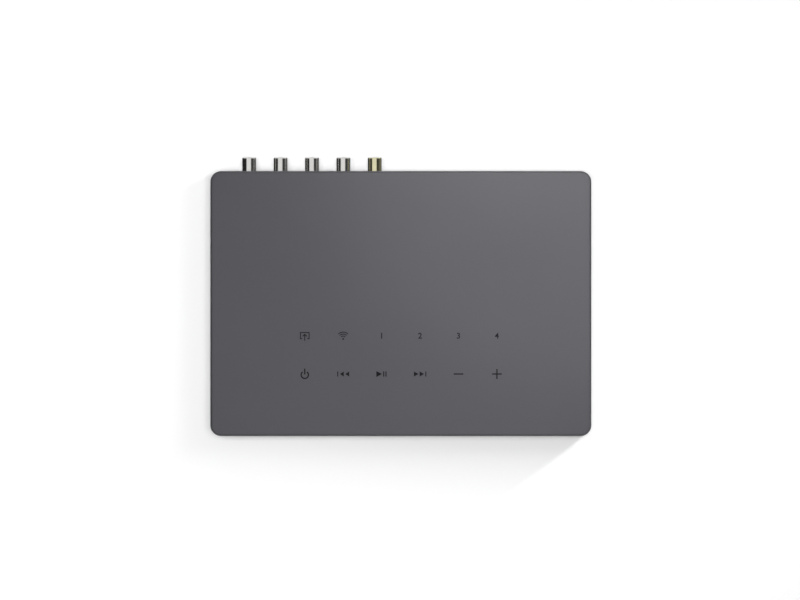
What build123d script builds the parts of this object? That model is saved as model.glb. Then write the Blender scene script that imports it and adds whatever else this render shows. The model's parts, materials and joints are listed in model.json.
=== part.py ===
"""A compact network music streamer: a low box with touch symbols on its top and its sockets at the rear.

All lengths are in millimetres. +X is to the right as seen from the front, +Y is to the rear, +Z is up.
The origin is on the desk, under the middle of the overall box that the body and its phono jacks fill.
"""

from build123d import *
import math
import os

os.makedirs("parts", exist_ok=True)

# Body
body_width = 230.0
body_depth = 160.0
body_height = 45.0
corner_radius = 6.5
top_edge_radius = 1.5
rim_chamfer = 0.4
foot_lift = 3.0
cover_wall = 2.5
cover_top = 2.5

# Fits and cuts
fit_gap = 0.1
shell_gap = 0.3
cut_overrun = 1.0

# A round has few sides where little of it shows: pilots, bosses and shanks have the fewest, then screw heads
# and cans, and the most where an edge of it shows
coarse_side_count = 8
medium_side_count = 12
fine_side_count = 24
wire_side_count = 5

# Rear window in the cover, and the panel that fills it
window_side = 14.0
window_head = 7.0
window_corner = 2.5
window_lip = 0.8
panel_overlap = 1.2
panel_thickness = 1.6

# Base
base_thickness = 2.2
base_lip_height = 3.0
base_lip_wall = 1.6
groove_depth = 1.0
rib_height = 1.8
rib_width = 1.4
rib_shares = (-0.28, 0.0, 0.28)
standoff_height = 6.2
standoff_radius = 3.2
vent_length = 26.0
vent_width = 2.2
vent_pitch = 5.2
vent_count = 8
vent_group_share = 0.25
vent_row_share = 0.12

# Feet
foot_radius = 8.0
foot_inset = 24.0
foot_spigot_radius = 3.0
foot_spigot_height = 1.2
foot_edge_chamfer = 0.5

# Corner screws that hold the cover to the base
boss_radius = 4.0
boss_rib_wall = 1.4
well_radius = 4.8
well_height = 5.8
well_floor = 2.0
cover_screw_radius = 1.45
cover_screw_length = 12.0
cover_head_radius = 2.75
cover_head_height = 2.0
screw_hole_gap = 0.25
pilot_gap = 0.05
pilot_spare = 1.5
dome_share = 0.45

# Main board
board_thickness = 1.6
board_side_gap = 12.0
board_rear_gap = 1.0
board_wide_depth = 92.0
board_tongue_width = 84.0
board_front_gap = 3.0
board_corner = 2.0
board_screw_radius = 1.2
board_screw_length = 6.0
board_head_radius = 2.6
board_head_height = 1.8
board_screw_inset = 6.0

# Phono jacks
jack_inset = 23.2
jack_pitch = 19.0
jack_reach = 8.3
jack_rise = 9.0
jack_shell_radius = 4.15
jack_shell_wall = 0.7
jack_shoulder = 0.25
jack_mouth_chamfer = 0.4
jack_insert_recess = 0.8
jack_bore_radius = 1.65
jack_bore_depth = 10.0
jack_clip_gap = 2.8
jack_clip_leaf = 0.4
jack_clip_width = 2.4
jack_seat_depth = 6.5
jack_collar_wall = 1.1
jack_block_side = 7.8
jack_block_height = 15.6
jack_block_depth = 11.5
jack_block_slope = 5.0
jack_tail_width = 0.8
jack_tail_reach = 1.6
jack_tail_stub = 1.2
jack_screw_radius = 1.3
jack_screw_length = 8.0
jack_head_radius = 2.5
jack_head_height = 1.7

# Ports that sit in the panel beside the jacks
port_proud = 0.3
port_cut_gap = 0.25

# Optical port with its hinged shutter
optical_width = 9.8
optical_height = 11.0
optical_frame = 0.8
optical_back = 3.0
optical_mouth = 6.6
optical_mouth_floor = 1.4
optical_mouth_chamfer = 1.3
optical_room_spare = 1.0
shutter_thickness = 0.8
shutter_lap = 0.4
shutter_play = 0.15
shutter_pin_radius = 0.4
shutter_pin_gap = 0.06
shutter_pin_bite = 0.6
shutter_knuckle_radius = 0.7
spring_wire = 0.2
spring_gap = 0.08
spring_turns = 2.875
spring_pitch = 0.34
spring_shutter_leg = 3.6
spring_ceiling_leg = 1.4
spring_slot_width = 1.8
spring_slot_drop = 1.1
emitter_radius = 1.4
emitter_length = 2.2

# Data socket
usb_width = 13.2
usb_height = 5.8
usb_depth = 14.0
usb_wall = 0.35
usb_tongue_width = 11.1
usb_tongue_thickness = 1.84
usb_tongue_length = 8.9
usb_tongue_drop = 0.7
usb_heel_depth = 4.0
usb_pin_width = 1.0
usb_pin_thickness = 0.2
usb_pin_length = 7.0
usb_pin_pitch = 2.3
usb_pin_count = 4

# Ethernet socket
ethernet_width = 16.0
ethernet_height = 13.5
ethernet_depth = 21.3
ethernet_shield_wall = 0.3
ethernet_port_width = 11.9
ethernet_port_height = 7.4
ethernet_port_floor = 4.4
ethernet_port_depth = 14.5
ethernet_latch_widths = (6.2, 3.9)
ethernet_latch_drops = (1.4, 2.8)
ethernet_light_width = 2.8
ethernet_light_height = 1.8
ethernet_light_depth = 6.0
ethernet_light_inset = 0.9
ethernet_pin_count = 8
ethernet_pin_pitch = 1.02
ethernet_pin_width = 0.45
ethernet_pin_drop = 2.4
ethernet_pin_run = 9.0
ethernet_pin_setback = 2.0

# Trigger socket for a 3.5 mm plug
trigger_width = 7.4
trigger_height = 7.2
trigger_depth = 12.5
trigger_rise = 3.6
trigger_bush_radius = 3.1
trigger_bore_radius = 1.8
trigger_bore_depth = 12.0

# Setup button and its switch
switch_width = 6.4
switch_height = 5.2
switch_depth = 6.5
switch_rise = 2.6
switch_setback = 3.0
button_radius = 1.7
button_proud = 0.9
button_edge = 0.3
button_collar_radius = 2.3
button_collar_thickness = 0.7
button_stem_radius = 1.0
button_stem_bite = 1.2
button_travel = 0.4
button_stop_gap = 0.4

# Power inlet
inlet_width = 9.2
inlet_height = 11.0
inlet_depth = 14.0
inlet_rise = 6.2
inlet_bore_radius = 3.15
inlet_bore_depth = 10.0
inlet_pin_radius = 1.0
inlet_pin_recess = 1.0
inlet_pin_chamfer = 0.3
inlet_tang_side = 1.2
inlet_tang_length = 1.5

# Streaming module and its antennas
module_width = 46.0
module_depth = 34.0
module_thickness = 1.0
module_y_share = 0.1
shield_width = 38.0
shield_depth = 24.0
shield_height = 2.6
shield_edge = 0.4
antenna_length = 36.0
antenna_height = 8.0
antenna_thickness = 0.8
antenna_front_gap = 30.0
antenna_rise = 16.0
lead_radius = 0.6
lead_plug_radius = 1.3
lead_plug_height = 1.6
lead_feed_inset = 3.0
lead_plug_share = 0.3
lead_x_shares = (0.0, 0.09, 0.15, 0.45, 0.8, 1.0)
lead_y_shares = (0.0, 0.0, 0.25, 0.8, 1.0, 1.0)
lead_z_shares = (0.0, 0.0, 0.72, 0.92, 1.0, 1.0)
lead_arc_share = 0.45

# Touch board under the top
touch_row_front = 37.7
touch_pitch = 23.2
touch_columns = 6
touch_rows = 2
touch_board_margin = 15.0
touch_board_thickness = 1.2
touch_pad_size = 9.0
touch_pad_height = 3.0
touch_boss_radius = 2.6
touch_screw_radius = 1.0
touch_screw_length = 3.4
touch_head_radius = 2.0
touch_head_height = 1.3
touch_screw_inset = 4.0
touch_chip_size = 7.0
touch_chip_height = 1.1

# Ribbon between the two boards
ribbon_width = 10.5
ribbon_thickness = 0.3
ribbon_bulge = 11.0
ribbon_bend = 8.0
ribbon_bite = 1.5
socket_width = 14.5
socket_depth = 4.6
socket_height = 2.4

# Front window with the lamp and the remote-control receiver behind it
lens_width = 22.0
lens_height = 4.4
lens_rise = 4.0
lens_flange = 1.6
lens_flange_thickness = 1.0
lens_recess = 0.1
receiver_width = 5.4
receiver_depth = 3.4
receiver_height = 6.6
receiver_dome_radius = 2.2
receiver_offset = 5.5
lamp_width = 3.0
lamp_depth = 2.2
lamp_height = 4.6
lamp_offset = 5.5

# Board parts, each placed by shares of the board's free area, where half is at the area's edge
part_gap = 1.5
chip_height = 1.4
chip_sizes = (9.0, 9.0, 6.5, 6.5)
chip_x_shares = (-0.36, -0.28, -0.20, -0.13)
chip_y_share = 0.5
coil_size = 7.0
coil_height = 4.2
coil_edge = 0.8
coil_x_shares = (0.18, 0.27, 0.36)
coil_y_share = 0.5
capacitor_radius = 4.0
capacitor_height = 11.0
capacitor_x_shares = (-0.44, -0.44, -0.34, -0.28, -0.22, 0.44, 0.44)
capacitor_y_shares = (0.5, 0.2, -0.45, -0.45, -0.45, 0.5, 0.2)

# Places that follow from the sizes
front_y = -(body_depth + jack_reach) / 2
rear_y = front_y + body_depth
middle_y = (front_y + rear_y) / 2
floor_top = foot_lift + base_thickness
board_bottom = floor_top + standoff_height
board_top = board_bottom + board_thickness
ceiling = body_height - cover_top
inner_width = body_width - 2 * cover_wall
inner_depth = body_depth - 2 * cover_wall
inner_front = front_y + cover_wall
inner_radius = corner_radius - cover_wall
window_width = body_width - 2 * window_side
window_top = body_height - window_head
panel_face = rear_y - window_lip - fit_gap
panel_back = panel_face - panel_thickness
port_face = panel_face + port_proud
block_face = panel_back - fit_gap

boss_x = inner_width / 2 - 2 * shell_gap - well_radius
boss_y = inner_depth / 2 - 2 * shell_gap - well_radius
well_top = floor_top + well_height
head_seat = well_top - well_floor
foot_x = body_width / 2 - foot_inset
foot_y = body_depth / 2 - foot_inset

board_width = inner_width - 2 * board_side_gap
board_rear = panel_back - board_rear_gap
board_front = inner_front + board_front_gap
board_wide_front = board_rear - board_wide_depth
board_screw_x = board_width / 2 - board_screw_inset
board_screw_rear = board_rear - jack_block_depth - board_screw_inset
board_screw_middle = board_wide_front + board_screw_inset
board_screw_front = board_front + board_screw_inset
board_tongue_screw_x = board_tongue_width / 2 - board_screw_inset
board_screw_spots = [
    (side * x, y)
    for x, y in (
        (board_screw_x, board_screw_rear),
        (board_screw_x, board_screw_middle),
        (board_tongue_screw_x, board_screw_front),
    )
    for side in (-1, 1)
]

jack_blocks = {
    "line_in": ("line_in_left", "line_in_right"),
    "line_out": ("line_out_left", "line_out_right"),
    "digital_out": ("digital_out",),
}
jack_names = [name for names in jack_blocks.values() for name in names]
jack_x = {name: jack_inset - body_width / 2 + jack_pitch * n for n, name in enumerate(jack_names)}
jack_pairs = [names for names in jack_blocks.values() if names[0] != names[-1]]
jack_screw_x = [(jack_x[left] + jack_x[right]) / 2 for left, right in jack_pairs]
jack_axis = board_top + jack_rise
jack_tip = rear_y + jack_reach
jack_heel = block_face - jack_seat_depth
jack_block_rear = block_face - jack_block_depth
jack_tail_y = jack_block_rear - jack_tail_reach
jack_insert_radius = jack_shell_radius - jack_shell_wall - pilot_gap
jack_insert_face = jack_tip - jack_insert_recess
jack_bore_floor = jack_insert_face - jack_bore_depth
jack_clip_span = jack_clip_gap + 2 * jack_clip_leaf
jack_collar_radius = jack_shell_radius + pilot_gap + jack_collar_wall
jack_tail_slot = jack_tail_width + 2 * fit_gap

# The ports beside the jacks are spread evenly over the rest of the window
ports_left = jack_x["digital_out"] + jack_block_side
ports_right = window_width / 2
port_widths = (optical_width, usb_width, ethernet_width, trigger_width, switch_width, inlet_width)
port_space = (ports_right - ports_left - sum(port_widths)) / (len(port_widths) + 1)
port_x = [
    ports_left + port_space * (n + 1) + sum(port_widths[:n]) + width / 2
    for n, width in enumerate(port_widths)
]
optical_x, usb_x, ethernet_x, trigger_x, switch_x, inlet_x = port_x

touch_board_width = (touch_columns - 1) * touch_pitch + 2 * touch_board_margin
touch_board_depth = (touch_rows - 1) * touch_pitch + 2 * touch_board_margin
touch_board_top = ceiling - touch_pad_height
touch_board_bottom = touch_board_top - touch_board_thickness
touch_middle_y = front_y + touch_row_front + (touch_rows - 1) * touch_pitch / 2
touch_screw_x = touch_board_width / 2 - touch_screw_inset
touch_screw_y = touch_board_depth / 2 - touch_screw_inset
touch_screw_spots = [
    (side_x * touch_screw_x, touch_middle_y + side_y * touch_screw_y)
    for side_x in (-1, 1)
    for side_y in (-1, 1)
]
socket_y = touch_middle_y + touch_board_depth / 2 - touch_screw_inset - socket_depth

# The board's free area, in front of the sockets and the rear screws
free_rear = min(jack_tail_y, port_face - ethernet_depth, board_screw_rear - board_head_radius) - part_gap
free_front = board_wide_front + part_gap
free_depth = free_rear - free_front
free_middle = (free_rear + free_front) / 2


def level(z):
    """A flat plane at height z. An extrusion from it runs up."""
    return Plane.XY.offset(z)


def across(y):
    """An upright plane at y, with sketch x along +X and sketch y along +Z. Extrusions run to the front."""
    return Plane.XZ.offset(-y)


def lengthwise(x):
    """An upright plane at x, with sketch x along +Y and sketch y along +Z. An extrusion runs to the right."""
    return Plane.YZ.offset(x)


def save(piece, name):
    """Labels a finished piece and writes it under its own name."""
    piece.part.label = name
    export_step(piece.part, f"parts/{name}.step")


def corners(x, y):
    """The four places at x and y from the middle of the body."""
    return [(side_x * x, middle_y + side_y * y) for side_x in (-1, 1) for side_y in (-1, 1)]


def box_on(plane, middle, size, depth, mode=Mode.ADD, align=(Align.CENTER, Align.CENTER)):
    """A rectangle at a place on a plane, extruded."""
    with BuildSketch(plane) as profile:
        with Locations(middle):
            Rectangle(*size, align=align)
    extrude(profile.sketch, amount=depth, mode=mode)


def discs_on(plane, middles, radius, depth, mode=Mode.ADD, sides=0):
    """Discs at several places on a plane, extruded.

    With sides, they are polygons: a solid one stays inside the radius, and a hole stays outside it.
    """
    with BuildSketch(plane) as profile:
        with Locations(*middles):
            if sides:
                RegularPolygon(radius, sides, major_radius=mode == Mode.ADD)
            else:
                Circle(radius)
    extrude(profile.sketch, amount=depth, mode=mode)


def polygon_holes(middles, radius, sides):
    """Holes of a few sides in the sketch that is being drawn."""
    with Locations(*middles):
        RegularPolygon(radius, sides, major_radius=False, mode=Mode.SUBTRACT)


STAND = (Align.CENTER, Align.MIN)


# Top cover: one moulded shell with a top and four walls, open below, with a window at the rear for sockets
def window_outline(grow):
    """The rear window's outline from below the cover's edge, grown to its sides and its head."""
    with Locations((0, foot_lift - cut_overrun)):
        Rectangle(window_width + 2 * grow, window_top + grow - foot_lift + cut_overrun, align=STAND)
    fillet(vertices().group_by(Axis.Y)[-1], window_corner)


with BuildPart() as top_cover:
    with BuildSketch(level(foot_lift)):
        with Locations((0, middle_y)):
            RectangleRounded(body_width, body_depth, corner_radius)
    extrude(amount=body_height - foot_lift)
    fillet(top_cover.faces().sort_by(Axis.Z)[-1].edges(), top_edge_radius)
    chamfer(top_cover.faces().sort_by(Axis.Z)[0].edges(), rim_chamfer)
    with BuildSketch(level(foot_lift)):
        with Locations((0, middle_y)):
            RectangleRounded(inner_width, inner_depth, inner_radius)
    extrude(amount=ceiling - foot_lift, mode=Mode.SUBTRACT)
    discs_on(
        level(well_top), corners(boss_x, boss_y), boss_radius, ceiling - well_top, sides=coarse_side_count
    )
    for side_x in (-1, 1):
        box_on(
            level(well_top),
            (side_x * (boss_x + inner_width / 2) / 2, middle_y),
            (inner_width / 2 - boss_x, 2 * boss_y + boss_rib_wall),
            ceiling - well_top,
        )
        box_on(
            level(well_top - cut_overrun),
            (side_x * (boss_x + inner_width / 2) / 2, middle_y),
            (inner_width / 2 - boss_x, 2 * boss_y - boss_rib_wall),
            ceiling - well_top + cut_overrun,
            Mode.SUBTRACT,
        )
    discs_on(
        level(well_top),
        corners(boss_x, boss_y),
        cover_screw_radius + pilot_gap,
        cover_screw_length - well_floor + pilot_spare,
        Mode.SUBTRACT,
        coarse_side_count,
    )
    discs_on(
        level(touch_board_top),
        touch_screw_spots,
        touch_boss_radius,
        touch_pad_height,
        sides=coarse_side_count,
    )
    discs_on(
        level(touch_board_top),
        touch_screw_spots,
        touch_screw_radius + pilot_gap,
        touch_screw_length - touch_board_thickness + fit_gap,
        Mode.SUBTRACT,
        coarse_side_count,
    )
    with BuildSketch(across(rear_y + cut_overrun)):
        window_outline(0)
    extrude(amount=cover_wall + 2 * cut_overrun, mode=Mode.SUBTRACT)
    with BuildSketch(across(rear_y - window_lip)):
        window_outline(panel_overlap)
    extrude(amount=cover_wall - window_lip + cut_overrun, mode=Mode.SUBTRACT)
    with BuildSketch(across(inner_front + cut_overrun)):
        with Locations((0, board_top + lens_rise)):
            SlotOverall(lens_width + 2 * fit_gap, lens_height + 2 * fit_gap)
    extrude(amount=cover_wall + 2 * cut_overrun, mode=Mode.SUBTRACT)
save(top_cover, "top_cover")


# Base cover: a moulded plate that closes the shell from below and carries the board
def base_ring(shrink):
    """The outline inside the shell's walls, smaller all round by shrink."""
    with Locations((0, middle_y)):
        RectangleRounded(inner_width - 2 * shrink, inner_depth - 2 * shrink, inner_radius - shrink)


with BuildPart() as base_cover:
    with BuildSketch(level(foot_lift)):
        base_ring(shell_gap)
    extrude(amount=base_thickness)
    box_on(
        across(rear_y - fit_gap),
        (0, foot_lift),
        (window_width - 2 * shell_gap, base_thickness),
        cover_wall + cut_overrun,
        align=STAND,
    )
    with BuildSketch(level(floor_top)):
        base_ring(shell_gap)
        with Locations((0, middle_y)):
            RectangleRounded(
                inner_width - 2 * (shell_gap + base_lip_wall),
                inner_depth - 2 * (shell_gap + base_lip_wall),
                inner_radius - shell_gap - base_lip_wall,
                mode=Mode.SUBTRACT,
            )
    extrude(amount=base_lip_height)
    discs_on(level(floor_top), corners(boss_x, boss_y), well_radius, well_height, sides=coarse_side_count)
    discs_on(level(floor_top), board_screw_spots, standoff_radius, standoff_height, sides=coarse_side_count)
    for share in rib_shares:
        box_on(
            level(floor_top),
            (0, middle_y + share * inner_depth),
            (2 * board_screw_x, rib_width),
            rib_height,
        )
    box_on(
        level(floor_top - groove_depth),
        (0, panel_back - fit_gap),
        (window_width + 2 * panel_overlap, panel_thickness + 2 * fit_gap),
        groove_depth + cut_overrun,
        Mode.SUBTRACT,
        STAND,
    )
    discs_on(
        level(foot_lift - cut_overrun),
        corners(boss_x, boss_y),
        cover_head_radius + screw_hole_gap,
        head_seat - foot_lift + cut_overrun,
        Mode.SUBTRACT,
        fine_side_count,
    )
    discs_on(
        level(head_seat - cut_overrun),
        corners(boss_x, boss_y),
        cover_screw_radius + screw_hole_gap,
        well_floor + 2 * cut_overrun,
        Mode.SUBTRACT,
        coarse_side_count,
    )
    discs_on(
        level(board_bottom + board_thickness - board_screw_length - pilot_spare),
        board_screw_spots,
        board_screw_radius + pilot_gap,
        board_screw_length + pilot_spare,
        Mode.SUBTRACT,
        coarse_side_count,
    )
    discs_on(
        level(foot_lift - cut_overrun),
        corners(foot_x, foot_y),
        foot_spigot_radius + pilot_gap,
        foot_spigot_height + pilot_gap + cut_overrun,
        Mode.SUBTRACT,
        coarse_side_count,
    )
    with BuildSketch(level(foot_lift - cut_overrun)):
        for side_x in (-1, 1):
            for side_y in (-1, 1):
                group = (
                    side_x * vent_group_share * inner_width,
                    middle_y + side_y * vent_row_share * inner_depth,
                )
                with Locations(group):
                    with GridLocations(vent_pitch, 0, vent_count, 1):
                        Rectangle(vent_width, vent_length)
    extrude(amount=base_thickness + rib_height + 2 * cut_overrun, mode=Mode.SUBTRACT)
save(base_cover, "base_cover")

# Rear panel: the plate that fills the window, held between the cover's lip and the base's groove
panel_bottom = floor_top - groove_depth + fit_gap
panel_half = window_width / 2 + panel_overlap - fit_gap
panel_top = window_top + panel_overlap - fit_gap
port_cuts = (
    (optical_x, optical_width, optical_height),
    (usb_x, usb_width, usb_height),
    (ethernet_x, ethernet_width, ethernet_height),
    (inlet_x, inlet_width, inlet_height),
)
with BuildPart() as rear_panel:
    with BuildSketch(across(panel_face)):
        with Locations((0, panel_bottom)):
            Rectangle(2 * panel_half, panel_top - panel_bottom, align=STAND)
        fillet(vertices().group_by(Axis.Y)[-1], window_corner)
        polygon_holes(
            [(x, jack_axis) for x in jack_x.values()], jack_collar_radius + port_cut_gap, fine_side_count
        )
        polygon_holes(
            [(x, jack_axis) for x in jack_screw_x], jack_screw_radius + screw_hole_gap, coarse_side_count
        )
        for x, width, height in port_cuts:
            with Locations((x, board_top - port_cut_gap)):
                Rectangle(
                    width + 2 * port_cut_gap, height + 2 * port_cut_gap, align=STAND, mode=Mode.SUBTRACT
                )
        with Locations((trigger_x, board_top + trigger_rise)):
            Circle(trigger_bush_radius + port_cut_gap, mode=Mode.SUBTRACT)
        with Locations((switch_x, board_top + switch_rise)):
            Circle(button_radius + port_cut_gap, mode=Mode.SUBTRACT)
    extrude(amount=panel_thickness)
save(rear_panel, "rear_panel")

# Rubber feet, each pushed into the base by a short spigot
with BuildPart() as rubber_feet:
    discs_on(level(0), corners(foot_x, foot_y), foot_radius, foot_lift)
    chamfer(rubber_feet.edges().group_by(Axis.Z)[0], foot_edge_chamfer)
    discs_on(
        level(foot_lift),
        corners(foot_x, foot_y),
        foot_spigot_radius,
        foot_spigot_height,
        sides=coarse_side_count,
    )
save(rubber_feet, "rubber_feet")


# Screws: each has a shank and a low domed head, and a node holds the identical ones
def screws(middles, plane, shank, head_plane, head):
    """Screws at several places: a shank of radius and length from one plane, a head from another."""
    discs_on(plane, middles, *shank, sides=coarse_side_count)
    discs_on(head_plane, middles, *head, sides=medium_side_count)


with BuildPart() as cover_screws:
    screws(
        corners(boss_x, boss_y),
        level(head_seat),
        (cover_screw_radius, cover_screw_length),
        level(head_seat - cover_head_height),
        (cover_head_radius, cover_head_height),
    )
    chamfer(cover_screws.edges().group_by(Axis.Z)[0], cover_head_height * dome_share)
save(cover_screws, "cover_screws")

with BuildPart() as board_screws:
    screws(
        board_screw_spots,
        level(board_top - board_screw_length),
        (board_screw_radius, board_screw_length),
        level(board_top),
        (board_head_radius, board_head_height),
    )
    chamfer(board_screws.edges().group_by(Axis.Z)[-1], board_head_height * dome_share)
save(board_screws, "board_screws")

with BuildPart() as touch_board_screws:
    screws(
        touch_screw_spots,
        level(touch_board_bottom),
        (touch_screw_radius, touch_screw_length),
        level(touch_board_bottom - touch_head_height),
        (touch_head_radius, touch_head_height),
    )
    chamfer(touch_board_screws.edges().group_by(Axis.Z)[0], touch_head_height * dome_share)
save(touch_board_screws, "touch_board_screws")

with BuildPart() as panel_screws:
    screws(
        [(x, jack_axis) for x in jack_screw_x],
        across(panel_face),
        (jack_screw_radius, jack_screw_length),
        across(panel_face + jack_head_height),
        (jack_head_radius, jack_head_height),
    )
    chamfer(panel_screws.edges().group_by(Axis.Y)[-1], jack_head_height * dome_share)
save(panel_screws, "panel_screws")

# Phono jacks: a metal shell that shoulders on its housing, a coloured insert, and a sprung clip for the pin
for name, x in jack_x.items():
    spot = [(x, jack_axis)]
    with BuildPart() as jack_shell:
        discs_on(across(jack_tip), spot, jack_shell_radius, jack_tip - port_face)
        chamfer(jack_shell.edges().group_by(Axis.Y)[-1], jack_mouth_chamfer)
        discs_on(
            across(port_face),
            spot,
            jack_shell_radius - jack_shoulder,
            port_face - jack_heel,
            sides=medium_side_count,
        )
        discs_on(
            across(jack_tip + cut_overrun),
            spot,
            jack_shell_radius - jack_shell_wall,
            jack_tip - jack_heel + 2 * cut_overrun,
            Mode.SUBTRACT,
            fine_side_count,
        )
    save(jack_shell, f"{name}_shell")

    with BuildPart() as jack_insert:
        discs_on(
            across(jack_insert_face),
            spot,
            jack_insert_radius,
            jack_insert_face - jack_heel,
            sides=fine_side_count,
        )
        discs_on(
            across(jack_insert_face + cut_overrun),
            spot,
            jack_bore_radius,
            jack_bore_depth + 2 * cut_overrun,
            Mode.SUBTRACT,
        )
        box_on(
            across(jack_bore_floor),
            spot[0],
            (jack_clip_span + 2 * fit_gap, jack_clip_span + 2 * fit_gap),
            jack_bore_floor - jack_heel + cut_overrun,
            Mode.SUBTRACT,
        )
    save(jack_insert, f"{name}_insert")

    with BuildPart() as jack_contact:
        for side in (-1, 1):
            box_on(
                across(jack_bore_floor - fit_gap),
                (x + side * (jack_clip_gap + jack_clip_leaf) / 2, jack_axis),
                (jack_clip_leaf, jack_clip_width),
                jack_bore_floor - fit_gap - jack_heel,
            )
        box_on(across(jack_heel + jack_clip_leaf), spot[0], (jack_clip_span, jack_clip_width), jack_clip_leaf)
        box_on(
            across(jack_heel),
            spot[0],
            (jack_tail_width, jack_tail_width),
            jack_heel - jack_tail_y + jack_tail_width / 2,
        )
        box_on(
            level(board_bottom - jack_tail_stub),
            (x, jack_tail_y),
            (jack_tail_width, jack_tail_width),
            jack_axis + jack_tail_width / 2 - board_bottom + jack_tail_stub,
        )
    save(jack_contact, f"{name}_contact")

# Phono jack housings: two double blocks and a single one, with collars through the panel
for name, jacks in jack_blocks.items():
    block_spots = [(jack_x[jack], jack_axis) for jack in jacks]
    block_middle = (jack_x[jacks[0]] + jack_x[jacks[-1]]) / 2
    block_width = jack_x[jacks[-1]] - jack_x[jacks[0]] + 2 * jack_block_side
    with BuildPart() as jack_housing:
        box_on(
            across(block_face),
            (block_middle, board_top),
            (block_width, jack_block_height),
            jack_block_depth,
            align=STAND,
        )
        chamfer(
            jack_housing.edges().filter_by(Axis.X).group_by(Axis.Z)[-1].sort_by(Axis.Y)[0],
            jack_block_slope,
        )
        discs_on(
            across(port_face), block_spots, jack_collar_radius, port_face - block_face, sides=fine_side_count
        )
        discs_on(
            across(port_face + cut_overrun),
            block_spots,
            jack_shell_radius - jack_shoulder + pilot_gap,
            port_face - jack_heel + cut_overrun,
            Mode.SUBTRACT,
            medium_side_count,
        )
        for spot in block_spots:
            box_on(
                across(jack_heel + cut_overrun),
                spot,
                (jack_tail_slot, jack_tail_slot),
                jack_heel - jack_block_rear + 2 * cut_overrun,
                Mode.SUBTRACT,
            )
        if jacks in jack_pairs:
            discs_on(
                across(block_face + cut_overrun),
                [(block_middle, jack_axis)],
                jack_screw_radius + pilot_gap,
                jack_screw_length + cut_overrun,
                Mode.SUBTRACT,
                coarse_side_count,
            )
    save(jack_housing, f"{name}_housing")

# Optical port: a housing whose mouth is closed from behind by a sprung shutter
mouth_floor = board_top + optical_mouth_floor
mouth_top = mouth_floor + optical_mouth
shutter_width = optical_mouth + 2 * shutter_lap
shutter_front = port_face - optical_frame - shutter_play
pin_y = shutter_front - shutter_knuckle_radius
pin_z = mouth_top + shutter_play + shutter_knuckle_radius
shutter_foot = mouth_floor - shutter_lap
shutter_length = pin_z - shutter_foot
room_width = shutter_width + 2 * shutter_play
room_floor = shutter_foot - shutter_play
room_top = pin_z + shutter_knuckle_radius + shutter_play
room_front = port_face - optical_frame
room_depth = room_front - pin_y + shutter_length + optical_room_spare
room_back = room_front - room_depth
mouth_middle = mouth_floor + optical_mouth / 2
optical_depth = optical_frame + room_depth + optical_back
spring_radius = shutter_pin_radius + spring_gap + spring_wire / 2
spring_height = spring_turns * spring_pitch
spring_x = optical_x - shutter_width / 2 + spring_slot_width / 2


def mouth_outline(grow):
    """The port's square mouth with its two lower corners cut off, grown all round."""
    with Locations((optical_x, mouth_floor - grow)):
        Rectangle(optical_mouth + 2 * grow, optical_mouth + 2 * grow, align=STAND)
    chamfer(vertices().group_by(Axis.Y)[0], optical_mouth_chamfer)


with BuildPart() as optical_housing:
    box_on(
        across(port_face), (optical_x, board_top), (optical_width, optical_height), optical_depth, align=STAND
    )
    with BuildSketch(across(port_face + cut_overrun)):
        mouth_outline(0)
    extrude(amount=optical_frame + 2 * cut_overrun, mode=Mode.SUBTRACT)
    box_on(
        across(room_front),
        (optical_x, room_floor),
        (room_width, room_top - room_floor),
        room_depth,
        Mode.SUBTRACT,
        STAND,
    )
    with BuildSketch(lengthwise(optical_x - room_width / 2 - shutter_pin_bite - shutter_pin_gap)):
        with Locations((pin_y, pin_z)):
            Circle(shutter_pin_radius + shutter_pin_gap)
    extrude(amount=room_width + 2 * (shutter_pin_bite + shutter_pin_gap), mode=Mode.SUBTRACT)
    discs_on(
        across(room_back + cut_overrun),
        [(optical_x, mouth_middle)],
        emitter_radius + pilot_gap,
        emitter_length / 2 + cut_overrun,
        Mode.SUBTRACT,
        coarse_side_count,
    )
save(optical_housing, "optical_housing")

with BuildPart() as optical_shutter:
    with BuildSketch(across(shutter_front)):
        with Locations((optical_x, shutter_foot)):
            Rectangle(shutter_width, shutter_length, align=STAND)
        chamfer(vertices().group_by(Axis.Y)[0], optical_mouth_chamfer)
    extrude(amount=shutter_thickness)
    discs_on(
        lengthwise(optical_x - shutter_width / 2),
        [(pin_y, pin_z)],
        shutter_knuckle_radius,
        shutter_width,
        sides=fine_side_count,
    )
    box_on(
        across(shutter_front + cut_overrun),
        (spring_x, pin_z - spring_slot_drop),
        (spring_slot_width, spring_slot_drop + shutter_knuckle_radius + cut_overrun),
        2 * (shutter_knuckle_radius + cut_overrun),
        Mode.SUBTRACT,
        STAND,
    )
    with BuildSketch(lengthwise(optical_x - shutter_width / 2 - shutter_play - shutter_pin_bite)):
        with Locations((pin_y, pin_z)):
            Circle(shutter_pin_radius)
    extrude(amount=shutter_width + 2 * (shutter_play + shutter_pin_bite))
save(optical_shutter, "optical_shutter")

# The shutter's spring: a coil round the pin, with one leg behind the shutter and one up to the ceiling
spring_axis = Axis((spring_x - spring_height / 2, pin_y, pin_z), (1, 0, 0))
with BuildPart() as optical_shutter_spring:
    with BuildLine() as spring_line:
        coil = Helix(
            spring_pitch,
            spring_height,
            spring_radius,
            center=spring_axis.position,
            direction=spring_axis.direction,
            mode=Mode.PRIVATE,
        )
        ceiling_side = Vector(0, -1, -1)
        turned = coil.rotate(
            spring_axis,
            ceiling_side.get_signed_angle(coil @ 0 - spring_axis.position, -spring_axis.direction),
        )
        add(turned)
        Line(turned @ 0 - (turned % 0) * spring_ceiling_leg, turned @ 0)
        Line(turned @ 1, turned @ 1 + (turned % 1) * spring_shutter_leg)
    with BuildSketch(Plane(origin=spring_line.line @ 0, z_dir=spring_line.line % 0)):
        RegularPolygon(spring_wire / 2, wire_side_count)
    sweep(path=spring_line.line)
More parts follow.
